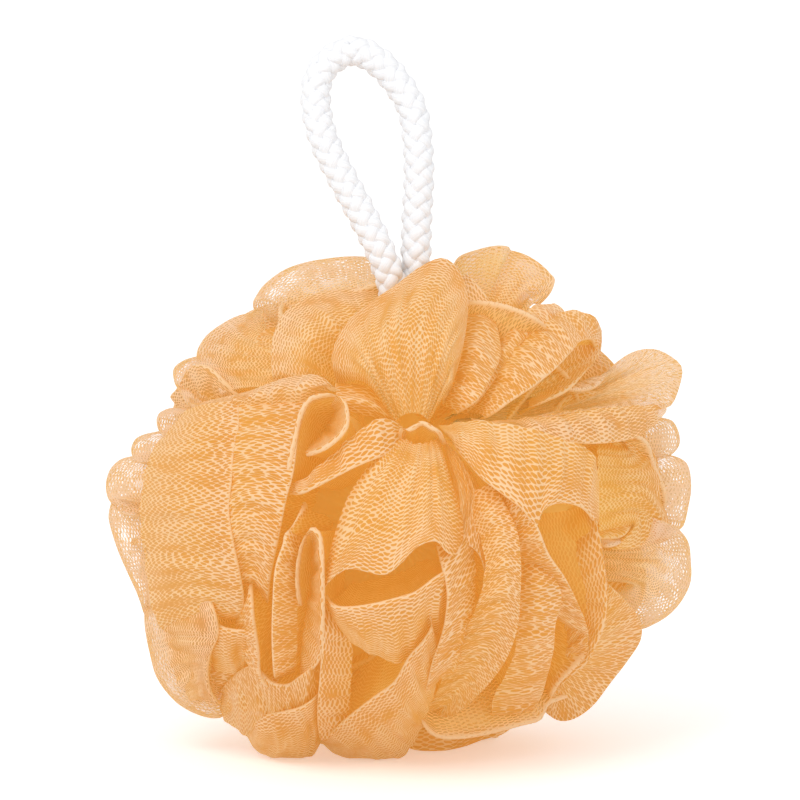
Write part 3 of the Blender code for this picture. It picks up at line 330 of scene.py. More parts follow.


# %% [markdown]
# ## The ruffles on the front
# These are the ones that give the pouf its face, so each is placed one by one: a tongue over the
# cord's foot, the large petals round the front pole and the pale see-through lobes at the edge.
# Rows run from the foot to the folded rim, and each point holds its place across and up, in
# millimetres, and its height over the middle plane as a share of the ball's. Where the netting
# is pulled tight it is nearly a film: THIN says how thin, for the ruffles that it names.

# %% Front ruffles
FRONT_RUFFLES = {
    "tongue": (
        ((-1, 68, 0.75), (0.5, 70, 0.8), (2.5, 70.5, 0.8), (4.5, 70, 0.8), (6, 68.5, 0.75)),
        ((-7, 76, 0.9), (-6.5, 83, 1), (-1, 87, 1.03), (5, 88, 1.03), (9.5, 84, 1), (10, 75, 0.9)),
        ((-12.5, 76, 0.82), (-13.5, 82, 0.86), (-11, 88, 0.92), (-6, 92.5, 0.95), (-1, 96, 0.97),
         (4.5, 100, 0.97), (8.5, 101.5, 0.97), (11.5, 99.5, 0.93), (13.5, 94, 0.9), (13, 86, 0.86),
         (11, 77.5, 0.83), (9, 72, 0.8)),
    ),
    "back_left": (
        ((-14, 79, 0), (-8, 83, 0), (-1.5, 83, 0)),
        ((-23, 89, -0.1), (-16, 94.5, -0.1), (-3, 95, -0.1)),
        ((-29, 90, -0.3), (-28.5, 94, -0.3), (-26, 97, -0.3), (-22, 99.5, -0.3), (-16, 101, -0.3),
         (-7.5, 101.5, -0.3), (-1.5, 100, -0.3)),
    ),
    "top_left": (
        ((-11, 73, 0.5), (-9, 76, 0.5), (-6, 78, 0.45), (-2, 79, 0.4)),
        ((-18, 75.5, 0.75), (-19, 83, 0.75), (-14, 88, 0.7), (-7.5, 89.5, 0.62), (-2.5, 89.5, 0.5)),
        ((-25, 76.5, 0.8), (-25.5, 83, 0.75), (-24.5, 88, 0.7), (-21.5, 92, 0.65), (-16, 94.5, 0.6),
         (-9, 95.5, 0.55), (-2, 96, 0.5)),
    ),
    "left_2": (
        ((-22, 85, 0.3), (-23, 82, 0.4), (-24, 78.5, 0.5), (-24.5, 74.5, 0.6)),
        ((-27.5, 87, 0.25), (-32, 84.5, 0.35), (-33, 80, 0.45), (-30.5, 74.5, 0.62)),
        ((-27.5, 90.5, 0.1), (-32, 90, 0.15), (-36, 88, 0.2), (-39, 85.5, 0.3), (-40.5, 82.5, 0.35),
         (-39.5, 80, 0.45), (-37, 77, 0.5), (-35, 73, 0.6)),
    ),
    "left_3": (
        ((-31, 77.5, 0.3), (-32, 74, 0.4), (-31, 71, 0.5)),
        ((-40, 81.5, 0.15), (-43, 81, 0.15), (-45, 79.5, 0.15), (-45, 77, 0.2), (-44, 75, 0.3),
         (-43, 73.5, 0.35), (-42, 70.5, 0.45)),
    ),
    "left_5": (
        ((-32, 70, 0.4), (-32, 66.5, 0.45)),
        ((-42.5, 71, 0.3), (-45.5, 71.5, 0.25), (-48, 70.5, 0.2), (-48.5, 69, 0.2), (-48, 67, 0.25),
         (-46, 65, 0.35)),
    ),
    "left_6": (
        ((-32, 66, 0.3), (-32, 60.5, 0.3)),
        ((-46, 67, 0.2), (-50, 66.5, 0.1), (-52.5, 65.5, 0.1), (-53.5, 63.5, 0.1), (-53, 61.5, 0.15),
         (-50, 60, 0.3)),
    ),
    "left_7": (
        ((-32, 60.5, 0.2), (-32, 53, 0.2)),
        ((-50, 62, 0.1), (-55, 61.5, 0.05), (-57.5, 59.5, 0.05), (-58.5, 56.5, 0.05), (-58, 53.5, 0.1),
         (-55.5, 51, 0.2), (-51, 50, 0.35)),
    ),
    "left_8": (
        ((-32, 52, 0.2), (-32, 44, 0.2), (-31, 33, 0.2)),
        ((-52, 52.5, 0.35), (-57, 53, 0.1), (-58, 50, 0.1), (-57.5, 47, 0.1), (-56, 42.5, 0.15),
         (-54, 38, 0.15), (-52, 33.5, 0.15), (-51, 29.5, 0.2)),
    ),
    "lower_left": (
        ((-32, 33, 0.2), (-30, 28, 0.2), (-27.5, 24, 0.2)),
        ((-41, 32.5, 0.45), (-40, 25, 0.5), (-38.5, 19.5, 0.45), (-35.5, 15, 0.35)),
        ((-51, 33, 0.2), (-51, 28, 0.1), (-50, 22.5, 0.1), (-48.5, 17.5, 0.1), (-45, 13, 0.1),
         (-41, 10.5, 0.1), (-36.5, 9.5, 0.15), (-34, 10.5, 0.2)),
    ),
    "left_roll": (
        ((-39, 67.5, 0.5), (-33, 70.5, 0.78), (-27, 71.5, 0.84), (-20, 72, 0.88), (-15.5, 73.5, 0.88)),
        ((-41, 70, 0.6), (-34, 72.5, 0.82), (-27, 74.5, 0.92), (-20, 75.5, 0.97), (-14.5, 75.5, 0.95)),
        ((-42.5, 72, 0.5), (-36, 73.5, 0.68), (-30, 75, 0.8), (-23, 77.5, 0.88), (-16.5, 78, 0.92),
         (-13, 75, 0.92)),
    ),
    "left_sheet": (
        ((-43, 70.5, 0.6), (-49.5, 63, 0.52), (-51.5, 56, 0.42), (-52, 49, 0.5), (-51, 41, 0.42),
         (-49.5, 31, 0.45), (-46.5, 25, 0.38)),
        ((-40, 71.5, 0.76), (-45.5, 65, 0.8), (-47.5, 59, 0.7), (-48, 52, 0.8), (-47.5, 45, 0.69),
         (-46.5, 38.5, 0.77), (-45, 32, 0.67), (-43, 26.5, 0.6)),
        ((-37, 72, 0.88), (-41, 66, 0.91), (-42.5, 59.5, 0.87), (-43, 52, 0.92), (-42.5, 45, 0.86),
         (-41.5, 38.5, 0.88), (-40, 33, 0.8), (-39, 28, 0.74)),
        ((-33, 72.5, 0.91), (-33, 68, 0.95), (-34, 63, 0.96), (-34.5, 57, 0.98), (-35, 51, 0.97),
         (-34, 44, 0.96), (-32.5, 37, 0.92), (-32, 32, 0.86), (-33.5, 28.5, 0.78)),
    ),
    "left_hollow": (
        ((-32, 72, 0.92), (-35, 65, 0.94), (-35.5, 55, 0.95), (-35, 44, 0.93), (-33.5, 33, 0.82)),
        ((-25.5, 72.5, 0.94), (-28.5, 65, 0.96), (-29.5, 55, 0.97), (-30, 45, 0.92), (-29.5, 35, 0.84)),
        ((-19.5, 73, 0.96), (-21, 67, 0.99), (-22, 59, 0.99), (-23.5, 53, 0.97), (-25, 45, 0.94),
         (-26.5, 38, 0.9), (-27, 32, 0.84)),
    ),
    "left_mouth_1": (
        ((-48, 33, 0.35), (-47, 25, 0.35), (-44.5, 17, 0.3), (-41, 11.5, 0.25)),
        ((-43, 32.5, 0.66), (-43, 26, 0.66), (-41.5, 19, 0.58), (-39, 12, 0.42)),
        ((-39.5, 35, 0.82), (-38.5, 32.5, 0.85), (-37.5, 29.5, 0.87), (-37, 26, 0.85),
         (-38.5, 22, 0.78), (-39, 18.5, 0.69), (-38.5, 15, 0.58), (-37, 11.5, 0.46)),
    ),
    "left_mouth_2": (
        ((-37.5, 18.5, 0.6), (-33.5, 18.5, 0.6), (-29, 20, 0.6)),
        ((-38, 23.5, 0.8), (-34, 22.5, 0.82), (-29, 23, 0.8)),
        ((-38, 28.5, 0.74), (-35.5, 27, 0.85), (-32.5, 26.5, 0.87), (-29, 26.5, 0.84), (-27.5, 27, 0.78)),
    ),
    "left_inner": (
        ((-26.5, 33, 0.55), (-27, 25, 0.55), (-27.5, 15, 0.5)),
        ((-33, 33, 0.5), (-33, 24, 0.52), (-33.5, 15, 0.48)),
        ((-38.5, 34, 0.42), (-39, 24, 0.42), (-38.5, 14, 0.36)),
    ),
    "left_eye": (
        ((-45.5, 46.5, 0.55), (-44.5, 41.5, 0.55), (-45.5, 36, 0.5)),
        ((-49.5, 47, 0.48), (-48.5, 42, 0.5), (-49, 37, 0.45)),
        ((-54, 43.5, 0.38), (-53.5, 45, 0.42), (-52, 45.5, 0.46), (-51, 43.5, 0.48), (-50, 41, 0.46),
         (-50.5, 38.5, 0.4)),
    ),
    "neck_left": (
        ((-0.5, 67, 0.72), (0, 68, 0.72), (0, 69, 0.72)),
        ((-5.5, 69, 0.84), (-6, 72, 0.84), (-6, 75, 0.78)),
        ((-11, 70.5, 0.9), (-12, 73.5, 0.88), (-12.5, 76, 0.82)),
    ),
    "inner_right": (
        ((8, 65.5, 0.78), (9.5, 65, 0.78), (11, 64, 0.78)),
        ((11, 53, 0.88), (13.5, 53.5, 0.9), (16.5, 53, 0.88)),
        ((9.5, 31, 0.82), (11, 40, 0.88), (13.5, 44.5, 0.92), (16, 42.5, 0.91), (17.5, 37.5, 0.88)),
    ),
    "centre_side": (
        ((14, 52, 0.88), (15, 41, 0.86), (15, 33, 0.84), (13.5, 25, 0.78), (11, 15, 0.66)),
        ((12, 47, 0.95), (13, 38, 0.94), (12.5, 32, 0.93), (11.5, 25, 0.9), (9, 17, 0.8)),
        ((8, 43.5, 1), (9, 40, 1.01), (10, 36, 1.01), (10, 32, 0.99), (9, 26.5, 0.96), (7, 20.5, 0.92),
         (5.5, 14, 0.84)),
    ),
    "pocket_1": (
        ((-19, 64, 0.65), (-18.5, 67, 0.62), (-17.5, 69, 0.6), (-15.5, 70, 0.6), (-15, 68, 0.62),
         (-16.5, 66, 0.65)),
        ((-23, 55.5, 0.96), (-22.5, 61, 1), (-21.5, 65.5, 1), (-20.5, 70, 0.98), (-18.5, 73.5, 0.97),
         (-15, 74.5, 0.98), (-12, 73.5, 1), (-11, 70.5, 1.02), (-11.5, 67.5, 1.03), (-14.5, 64.5, 1.03),
         (-19, 62, 1.02)),
    ),
    "strap": (
        ((-23.5, 56, 0.9), (-20, 57, 0.93), (-15, 61, 0.95), (-10, 65.5, 0.96), (-6, 68.5, 0.95),
         (-3, 69.5, 0.93), (0.5, 67.5, 0.88)),
        ((-22.5, 54, 0.93), (-19, 55.5, 0.99), (-14, 58, 1.01), (-9, 60.5, 1.02), (-4, 62.5, 1),
         (0.5, 64, 0.9)),
    ),
    "centre": (
        ((0.5, 66, 0.85), (2.5, 64.5, 0.9), (5, 64.5, 0.9), (7.5, 65.5, 0.85)),
        ((-4.5, 61.5, 1), (1, 60.5, 1.02), (6, 60.5, 1.02), (9.5, 59, 0.97)),
        ((-10, 54, 1.02), (-2, 53, 1.05), (6, 53, 1.05), (11.5, 52.5, 0.98)),
        ((-13, 46, 1), (-6, 46, 1.07), (5, 47.5, 1.07), (13, 46, 0.97)),
        ((-16, 34, 0.93), (-14, 37, 0.98), (-10, 39.5, 1.03), (-3, 38.5, 1.08), (0.5, 41, 1.09),
         (3.5, 44, 1.09), (7, 45.5, 1.07), (9.5, 43, 1.02), (12.5, 41, 0.93)),
    ),
    "centre_top": (
        ((2, 65, 0.7), (4, 65.5, 0.68), (7, 65, 0.7)),
        ((0.5, 64, 0.9), (1, 67, 0.92), (2.5, 68, 0.93), (4.5, 69, 0.93), (6.5, 68, 0.93),
         (8, 67, 0.92), (9.5, 64, 0.9)),
    ),
    "lower_lip": (
        ((-12.5, 27, 0.82), (-9, 24, 0.86), (-5, 22, 0.88), (0, 20.5, 0.88), (6, 25, 0.83),
         (10.5, 30, 0.78)),
        ((-14, 29, 0.93), (-8, 26.5, 1), (-1, 26.5, 1.02), (5, 30.5, 1), (10.5, 33.5, 0.9)),
        ((-15.5, 33.5, 0.93), (-13.5, 31.5, 0.98), (-11, 31, 1.01), (-6, 31.5, 1.05), (0, 33, 1.06),
         (3, 34, 1.06), (6.5, 36.5, 1.05), (9, 38, 1.01), (11.5, 40, 0.93)),
    ),
    "under_left": (
        ((-9.5, 29, 0.85), (-9.5, 23, 0.8), (-10, 13, 0.7), (-11, 4.5, 0.5)),
        ((-15.5, 32.5, 0.93), (-15, 25, 0.95), (-15.5, 17, 0.9), (-16, 10, 0.8), (-15.5, 4, 0.5)),
    ),
    "bottom": (
        ((-15.5, 3.5, 0.25), (-11, 1, 0.2), (-5.5, 0, 0.2), (-1, 0.5, 0.25), (2.5, 4, 0.4),
         (6, 12, 0.6), (8.5, 20, 0.72)),
        ((-15, 4, 0.4), (-10, 4, 0.6), (-4, 6.5, 0.78), (0.5, 10.5, 0.84), (4, 15, 0.85), (7, 22, 0.86),
         (8.5, 26, 0.84)),
        ((-15.5, 4, 0.5), (-12, 7.5, 0.74), (-9, 10, 0.85), (-5, 13, 0.92), (-1, 16, 0.95),
         (2, 21, 0.97), (5, 24.5, 0.98), (6.5, 27.5, 0.98), (5.5, 30, 0.96), (3, 31, 0.92)),
    ),
    "bottom_left": (
        ((-36.5, 12, 0.15), (-35, 9, 0.15), (-31, 6, 0.15), (-27.5, 2.5, 0.15), (-23, 1, 0.15),
         (-18, 1.5, 0.2), (-16, 4, 0.3)),
        ((-35.5, 14, 0.45), (-32.5, 13.5, 0.7), (-29, 11.5, 0.76), (-24, 10.5, 0.8), (-20, 12, 0.8),
         (-16, 14, 0.76)),
        ((-36.5, 13.5, 0.3), (-34.5, 16.5, 0.5), (-31, 19, 0.74), (-28.5, 18.5, 0.84), (-26, 16, 0.88),
         (-23, 15.5, 0.9), (-20.5, 17, 0.92), (-18, 19, 0.92), (-16, 21.5, 0.92)),
    ),
    "loop_a": (
        ((-19, 49, 0.82), (-20, 42, 0.86), (-20.5, 33, 0.86), (-20.5, 25, 0.83), (-21, 18, 0.78)),
        ((-19.5, 52, 0.9), (-22.5, 45, 1), (-24.5, 39, 1.03), (-25, 32, 1.03), (-25, 24, 1),
         (-24.5, 16.5, 0.9)),
    ),
    "loop_a2": (
        ((-33, 30, 0.7), (-32.5, 25, 0.72), (-30.5, 20, 0.7)),
        ((-30.5, 36, 0.9), (-30, 30, 0.97), (-29, 23, 0.95), (-28.5, 17.5, 0.9), (-26.5, 15.5, 0.87),
         (-24.5, 17, 0.87)),
    ),
    "loop_b": (
        ((-20, 31, 0.78), (-19.5, 39, 0.72), (-18, 42, 0.7), (-18, 37, 0.75), (-19, 29, 0.78),
         (-20, 22, 0.78)),
        ((-20.5, 31, 0.92), (-21, 38, 0.95), (-20, 44, 0.97), (-18, 47, 0.98), (-16.5, 45.5, 0.99),
         (-16, 37, 0.99), (-16, 29, 0.97), (-16.5, 22, 0.92), (-20, 17.5, 0.86)),
    ),
    "right_face": (
        ((7.5, 67.5, 0.8), (14, 69, 0.91), (20, 68.5, 0.94), (26, 67.5, 0.95), (32, 65.5, 0.93),
         (38.5, 62.5, 0.86), (40, 56, 0.8)),
        ((9, 66, 0.9), (15, 65, 1.01), (22, 62, 1.05), (29, 59, 1.05), (35.5, 56, 0.98),
         (40, 51.5, 0.85)),
        ((10, 65, 0.9), (13, 62, 0.98), (16.5, 58, 1.03), (20.5, 55, 1.06), (24.5, 52, 1.08),
         (27.5, 48.5, 1.07), (29, 51.5, 1.07), (32.5, 53, 1.04), (37, 52, 0.98), (40, 48, 0.86)),
    ),
    "right_lip": (
        ((35, 47, 0.7), (35.5, 41, 0.72), (37, 35, 0.7), (37, 30, 0.64), (35.5, 25.5, 0.58),
         (32.5, 21.5, 0.52), (30, 18, 0.48)),
        ((38, 52, 0.9), (39.5, 47, 0.88), (40.5, 41, 0.85), (41, 35, 0.82), (40.5, 29.5, 0.78),
         (39, 24.5, 0.74), (37, 20.5, 0.68), (33.5, 17.5, 0.6), (30.5, 13.5, 0.5)),
    ),
    "right_4": (
        ((18.5, 52, 0.88), (22, 46, 0.92), (25, 40, 0.88), (28.5, 34.5, 0.82), (31, 29, 0.74)),
        ((20, 56, 1), (24.5, 52, 1.06), (27, 47, 1.06), (29, 42, 1.02), (32.5, 37.5, 0.96),
         (35, 33, 0.9), (37, 28.5, 0.84), (38, 24, 0.72)),
    ),
    "right_1": (
        ((13, 53, 0.88), (15.5, 47, 0.92), (17, 41, 0.94), (16, 34, 0.92), (13.5, 28, 0.86),
         (10, 22, 0.78), (7.5, 15, 0.62), (3, 8.5, 0.35)),
        ((15.5, 54.5, 0.97), (20, 46, 1.03), (21, 39, 1.03), (20.5, 33, 1), (18, 26, 0.92),
         (14, 19, 0.8), (8, 10.5, 0.5)),
        ((18.5, 56, 0.97), (23, 47.5, 1.02), (24, 41, 1.03), (24, 35, 1.01), (23.5, 28, 0.95),
         (21, 21, 0.84), (16.5, 15, 0.68), (10.5, 10, 0.46), (3, 8, 0.3)),
    ),
    "right_2": (
        ((24, 41, 0.9), (24, 35, 0.9), (23.5, 29, 0.86), (23, 23, 0.8), (21, 18, 0.7), (18.5, 13, 0.55),
         (19, 6.5, 0.25)),
        ((27, 41, 0.97), (28, 35, 0.98), (28, 29, 0.96), (27, 23, 0.9), (25, 16.5, 0.75), (22, 7, 0.3)),
        ((29.5, 40, 0.95), (32, 35, 0.95), (32, 32, 0.95), (31, 28.5, 0.94), (30.5, 23, 0.88),
         (29, 17, 0.74), (27.5, 12.5, 0.55), (24, 8, 0.3)),
    ),
    "right_3": (
        ((32.5, 29, 0.55), (33.5, 25, 0.55), (32.5, 20.5, 0.5), (30.5, 16.5, 0.42)),
        ((33, 33.5, 0.9), (35.5, 31, 0.86), (37, 28, 0.8), (37.5, 25, 0.75), (37, 22, 0.7),
         (34.5, 19, 0.65), (32, 16.5, 0.58), (30, 12.5, 0.45)),
    ),
    "right_6": (
        ((30, 13, 0.35), (31, 15, 0.42), (34, 18, 0.48), (37.5, 22, 0.52), (39, 26.5, 0.56),
         (39, 32, 0.6)),
        ((28, 12.5, 0.3), (29.5, 10.5, 0.2), (32, 9, 0.15), (35, 9.5, 0.15), (38.5, 12, 0.15),
         (42, 16.5, 0.18), (45.5, 21, 0.22), (48, 25, 0.28), (48, 28.5, 0.4), (44.5, 33, 0.55),
         (41, 36, 0.66)),
    ),
    "right_7": (
        ((33, 36, 0.35), (33.5, 41, 0.35), (33, 46, 0.35)),
        ((45.5, 36, 0.36), (50, 37, 0.3), (51, 41, 0.3), (48, 45, 0.4)),
        ((41.5, 34.5, 0.3), (45, 30.5, 0.2), (48, 27.5, 0.2), (51, 28.5, 0.2), (54, 30.5, 0.18),
         (56.5, 33.5, 0.15), (58, 37, 0.15), (58, 41, 0.15), (57.5, 44.5, 0.2), (55.5, 47, 0.3),
         (50, 49, 0.45)),
    ),
    "right_8": (
        ((33, 48, 0.3), (33.5, 52, 0.3), (33, 57, 0.3)),
        ((40, 44, 0.55), (48, 46, 0.3), (56, 47.5, 0.05), (57.5, 52, 0.05), (58, 56.5, 0.05),
         (57, 60.5, 0.05), (53.5, 62, 0.1), (46, 62, 0.35)),
    ),
    "right_5": (
        ((32, 59, 0.25), (32, 65, 0.25)),
        ((48, 60.5, 0.2), (53.5, 62, 0.1), (55.5, 64, 0.05), (55.5, 66.5, 0.05), (54, 69, 0.1),
         (50, 69.5, 0.2)),
    ),
    "loop_right": (
        ((10, 68, 0.7), (11, 69, 0.68), (12, 69, 0.68), (13, 68.5, 0.7)),
        ((26, 74, 0.45), (29, 72, 0.42), (29, 69.5, 0.45), (26, 68, 0.5)),
        ((32, 75.5, 0.55), (40, 78, 0.4), (48, 79.5, 0.3), (52.5, 78, 0.3), (51, 74.5, 0.35),
         (44, 72.5, 0.45), (32, 70.5, 0.6)),
        ((32, 75.5, 0.62), (38, 76, 0.52), (41, 78, 0.42), (43.5, 80.5, 0.32), (47, 82.5, 0.25),
         (50.5, 83, 0.2), (53.5, 82, 0.2), (56, 80, 0.2), (56, 77, 0.2), (54.5, 73, 0.25),
         (51, 72, 0.4), (40, 71.5, 0.62), (28, 69.5, 0.8)),
    ),
    "right_strap": (
        ((14, 69, 0.8), (20, 69, 0.8), (32, 70.5, 0.7), (40, 71.5, 0.62), (48, 72, 0.5), (53, 72, 0.35)),
        ((15, 68, 0.86), (23, 68, 0.88), (32, 68, 0.82), (40, 68, 0.74), (48, 69.5, 0.58),
         (53.5, 70.5, 0.35)),
        ((16, 68, 0.88), (24, 67, 0.9), (32, 65.5, 0.86), (40, 65, 0.76), (47, 66, 0.6),
         (52.5, 69, 0.35)),
    ),
    "top_right_2": (
        ((13, 70, 0.7), (15.5, 75.5, 0.6), (19, 82, 0.5), (23.5, 87, 0.42), (29, 90, 0.36),
         (34.5, 91, 0.32), (39, 89.5, 0.28), (40.5, 86.5, 0.28)),
        ((15, 70, 0.8), (19, 74, 0.8), (23, 80, 0.78), (28, 84.5, 0.74), (33, 87.5, 0.68),
         (37, 88, 0.6), (39.5, 87, 0.5), (40.5, 84, 0.4)),
        ((16.5, 69.5, 0.86), (21, 73, 0.88), (26.5, 76.5, 0.87), (31, 80, 0.84), (34.5, 83.5, 0.8),
         (36.5, 85.5, 0.74), (39, 85.5, 0.64), (40, 83, 0.52)),
    ),
    "top_right_3": (
        ((10.5, 71.5, 0.66), (14, 77, 0.56), (18, 83, 0.48), (22.5, 88.5, 0.4), (27, 92, 0.34),
         (31, 92, 0.3)),
        ((11.5, 71, 0.74), (15.5, 76.5, 0.72), (19.5, 82, 0.66), (24, 87.5, 0.58), (28.5, 90.5, 0.48),
         (32.5, 91, 0.38)),
        ((13, 70.5, 0.76), (17, 75.5, 0.74), (21, 81, 0.68), (25, 86, 0.6), (29.5, 89, 0.5),
         (33.5, 89.5, 0.4)),
    ),
    "top_right_0": (
        ((8, 71.5, 0.72), (10, 79, 0.7), (11, 86, 0.62), (12.5, 89.5, 0.52), (14, 91, 0.46)),
        ((9.5, 71, 0.8), (13, 76.5, 0.84), (15, 83, 0.8), (16, 88, 0.68), (16.5, 91.5, 0.5)),
        ((11, 70.5, 0.84), (15.5, 74, 0.86), (18, 78, 0.82), (20, 82.5, 0.72), (19.5, 87, 0.62),
         (18.5, 90.5, 0.52)),
    ),
    "top_back": (
        ((10, 83, 0), (15, 84, 0), (20, 83, 0)),
        ((12.5, 93, -0.2), (20, 95, -0.2), (26, 93, -0.15)),
        ((11, 98, -0.3), (12.5, 101, -0.35), (16.5, 102.5, -0.35), (21, 103, -0.35), (26, 101.5, -0.35),
         (30, 98, -0.35), (29.5, 95.5, -0.3), (27, 92, -0.2)),
    ),
    "bottom_right_back": (
        ((4, 21, 0.1), (12, 21, 0.1), (20, 23, 0.1)),
        ((1, 6, 0.1), (2.5, 3.5, 0), (8, 3, 0), (13, 4, 0), (17, 5.5, 0.05), (20.5, 6.5, 0.1),
         (24, 8.5, 0.1)),
    ),
    "bottom_left_2": (
        ((-31, 5.5, 0.3), (-27.5, 2, 0.25), (-23, 1, 0.25), (-18, 1.5, 0.25), (-16, 3.5, 0.35)),
        ((-30, 7.5, 0.6), (-27, 5.5, 0.74), (-23, 4.5, 0.8), (-19, 5.5, 0.8), (-16, 8, 0.72)),
        ((-30, 9, 0.6), (-27.5, 9.5, 0.84), (-24, 10, 0.92), (-20, 11, 0.93), (-16, 13.5, 0.9)),
    ),
    "top_right_4": (
        ((8.5, 69, 0.66), (9.5, 69.5, 0.64), (11, 70, 0.62), (12.5, 70.5, 0.62), (13.5, 70, 0.63),
         (15, 69, 0.66)),
        ((20, 73, 0.5), (24, 77, 0.45), (28, 80, 0.38), (30.5, 79.5, 0.4), (30, 76, 0.46),
         (25, 73, 0.52)),
        ((16.5, 70, 0.7), (20, 79.5, 0.6), (23.5, 86.5, 0.45), (28, 89, 0.35), (32.5, 90, 0.28),
         (36, 90.5, 0.24), (39, 89.5, 0.24), (40, 86.5, 0.28), (40, 83, 0.36), (38, 80, 0.46),
         (33.5, 76, 0.58), (26, 71.5, 0.7)),
    ),
    "right_mid": (
        ((39.5, 64.5, 0.5), (39.5, 59, 0.52), (39.5, 53, 0.52), (40, 46, 0.5)),
        ((45.5, 64, 0.45), (47.5, 59, 0.44), (48.5, 53, 0.42), (46.5, 47, 0.42)),
        ((41, 66.5, 0.52), (47, 65, 0.4), (50.5, 63, 0.32), (52, 58.5, 0.28), (52, 54, 0.27),
         (53.5, 50, 0.22), (54.5, 46, 0.18), (48, 44, 0.38), (41, 43, 0.5)),
    ),
}
DRAWN_ACROSS = {
    "right_1",
    "right_2",
    "right_3",
    "right_4",
    "right_6",
    "top_right_0",
    "top_right_2",
    "top_right_3",
    "loop_right",
    "left_sheet",
    "left_hollow",
    "loop_a",
    "loop_a2",
    "inner_right",
    "left_inner",
    "centre_side",
    "neck_left",
    "bottom_left",
}
THIN = {
    1.0: "back_left left_3 left_5 left_6 left_7 left_8 right_5 right_7 right_8".split(),
    0.7: "left_2 lower_left left_eye loop_right".split(),
    0.5: ["top_back"],
    0.3: "left_mouth_1 left_roll top_left right_strap".split(),
}
FRONT_PLACES = 64
FRONT_ACROSS = 15
FRONT_SOFT = 0.8 * MM
NET_THICKNESS = 0.3 * MM


def pressed_flat(grid, soft):
    """What would hang below the ground lies on it: every height is at least a net's thickness,
    and heights h near the ground become (h + root(h^2 + soft^2)) / 2, so the fold is round."""
    height = grid[..., 2]
    eased = 0.5 * (height + np.sqrt(height**2 + soft**2))
    grid[..., 2] = np.maximum(np.where(height < 4 * soft, eased, height), NET_THICKNESS)
    return grid


front_grids = []
for number, (name, rows) in enumerate(FRONT_RUFFLES.items()):
    grid, run = ruffle_grid([on_front(row) for row in rows], FRONT_PLACES, FRONT_ACROSS, number)
    grid = sunk_ends(grid, run, np.array((0.0, 1.0, 0.0)))
    thin = sum(share for share, names in THIN.items() if name in names)
    net, lie = net_coordinates(grid, run, FRONT_ACROSS, number, name in DRAWN_ACROSS, thin)
    front_grids.append((pressed_flat(grid, FRONT_SOFT), net, lie))
netting_front = mesh_from_grids("netting_front", front_grids)

# %% [markdown]
# ## The scattered ruffles
# The same ruffles go on all round, and no two lie alike. Placing them by hand would be slow and
# nobody could tell, so their middles follow the golden angle, which spreads any number of
# points evenly over a ball, and each one's length, bend and lean follow its number. One set
# covers the far side. Another, deeper, fills the room between the ruffles on the front.

# %% Scattered ruffles
FAR = {"count": 46, "first": 1.0, "last": -0.12, "places": 48, "across": 12, "thin": 0.35}
INNER = {"count": 34, "first": 0.1, "last": -0.8, "places": 40, "across": 10, "thin": 0.0}


def on_ball(directions, lift):
    """Places in unit directions from the ball's centre, at lift times its surface."""
    return BALL_CENTRE + np.asarray(lift)[..., None] * BALL_HALF * directions


def scattered_direction(number, kind):
    """Point number of an even spread over the ball: its share towards the back goes evenly from
    first to last, while it turns by the golden angle."""
    cosine = kind["first"] + (kind["last"] - kind["first"]) * (number + 0.5) / kind["count"]
    around = number * math.pi * (3.0 - math.sqrt(5.0))
    sine = math.sqrt(1.0 - cosine**2)
    return np.array((sine * math.cos(around), cosine, sine * math.sin(around)))


def far_lift(directions):
    """A far rim's height as a share of the ball: lower round the sides, and higher underneath
    where it is behind the middle."""
    side = (1.0 - directions[:, 1] ** 2) ** 4 * (directions[:, 2] > -0.8)
    behind = np.clip((directions[:, 1] + 0.05) / 0.3, 0.0, 1.0)
    below = behind * np.maximum(-directions[:, 2], 0.0) ** 6
    return 0.98 - 0.07 * side + 0.18 * below


def inner_lift(directions):
    """An inner rim's height as a share of the ball: 0.83, less 0.35 of the square of how far
    forward it points."""
    return 0.83 - 0.35 * np.maximum(-directions[:, 1], 0.0) ** 2


# %% [markdown]
# ## The rows of a scattered ruffle
# On the real pouf such a ruffle is a bent strip that leans on the next one. It could be a copy of
# one of the front's, but copies show. So its rows are arcs on the ball, bent and waved by sines.

# %% Rows of a scattered ruffle
ARC_ROWS = ((0.42, -0.16, 0.5), (0.82, -0.06, 0.78), (1.0, 0.06, 1.0))
ARC_POINTS = 21
ARC_REACH = (25.0, 6.0)
ARC_BEND = (0.16, 0.1)
ARC_WAVE = 0.09
ENDS_DROP = 0.1
EDGE_RIPPLE = 0.02
FOOT_LIFT = 0.1


def arc_rows(number, middle, rim_lift):
    """A ruffle's rows: arcs on the ball, bent by 1 - s^2 and waved by a sine of s, the place
    along the arc from -1 to 1, and each row leaning further over and standing higher. Reach
    and bend are a middle value and how far it varies, by a sine of the number, and each sine has
    a rate of its own, so that no two ruffles are alike."""
    turn = 2.1 * number + 0.9 * math.sin(3.7 * number)
    level = unit(np.cross(middle, (0.3, 0.2, 1.0)))
    upright = np.cross(middle, level)
    along = math.cos(turn) * level + math.sin(turn) * upright
    across = np.cross(middle, along)
    s = np.linspace(-1.0, 1.0, ARC_POINTS)
    reach = math.radians(ARC_REACH[0] + ARC_REACH[1] * math.sin(1.9 * number))
    bend = ARC_BEND[0] + ARC_BEND[1] * math.sin(2.3 * number + 1.0)
    wave = ARC_WAVE * np.sin((3.4 + math.sin(number)) * s + 1.3 * number)
    rows = []
    for share, lean, depth in ARC_ROWS:
        sideways = lean + share * (bend * (1.0 - s**2) + wave)
        directions = middle + np.outer(share * reach * s, along) + np.outer(sideways, across)
        directions = unit(directions)
        edge = rim_lift(directions) - ENDS_DROP * s**2 + EDGE_RIPPLE * np.sin(5.0 * s + number)
        rows.append(on_ball(directions, depth * edge + (1.0 - depth) * FOOT_LIFT))
    return rows


print("a scattered ruffle reaches", 2 * ARC_REACH[0], "degrees of the ball")

# %% Make the scattered ruffles
SCATTERED_SOFT = 1.5 * MM


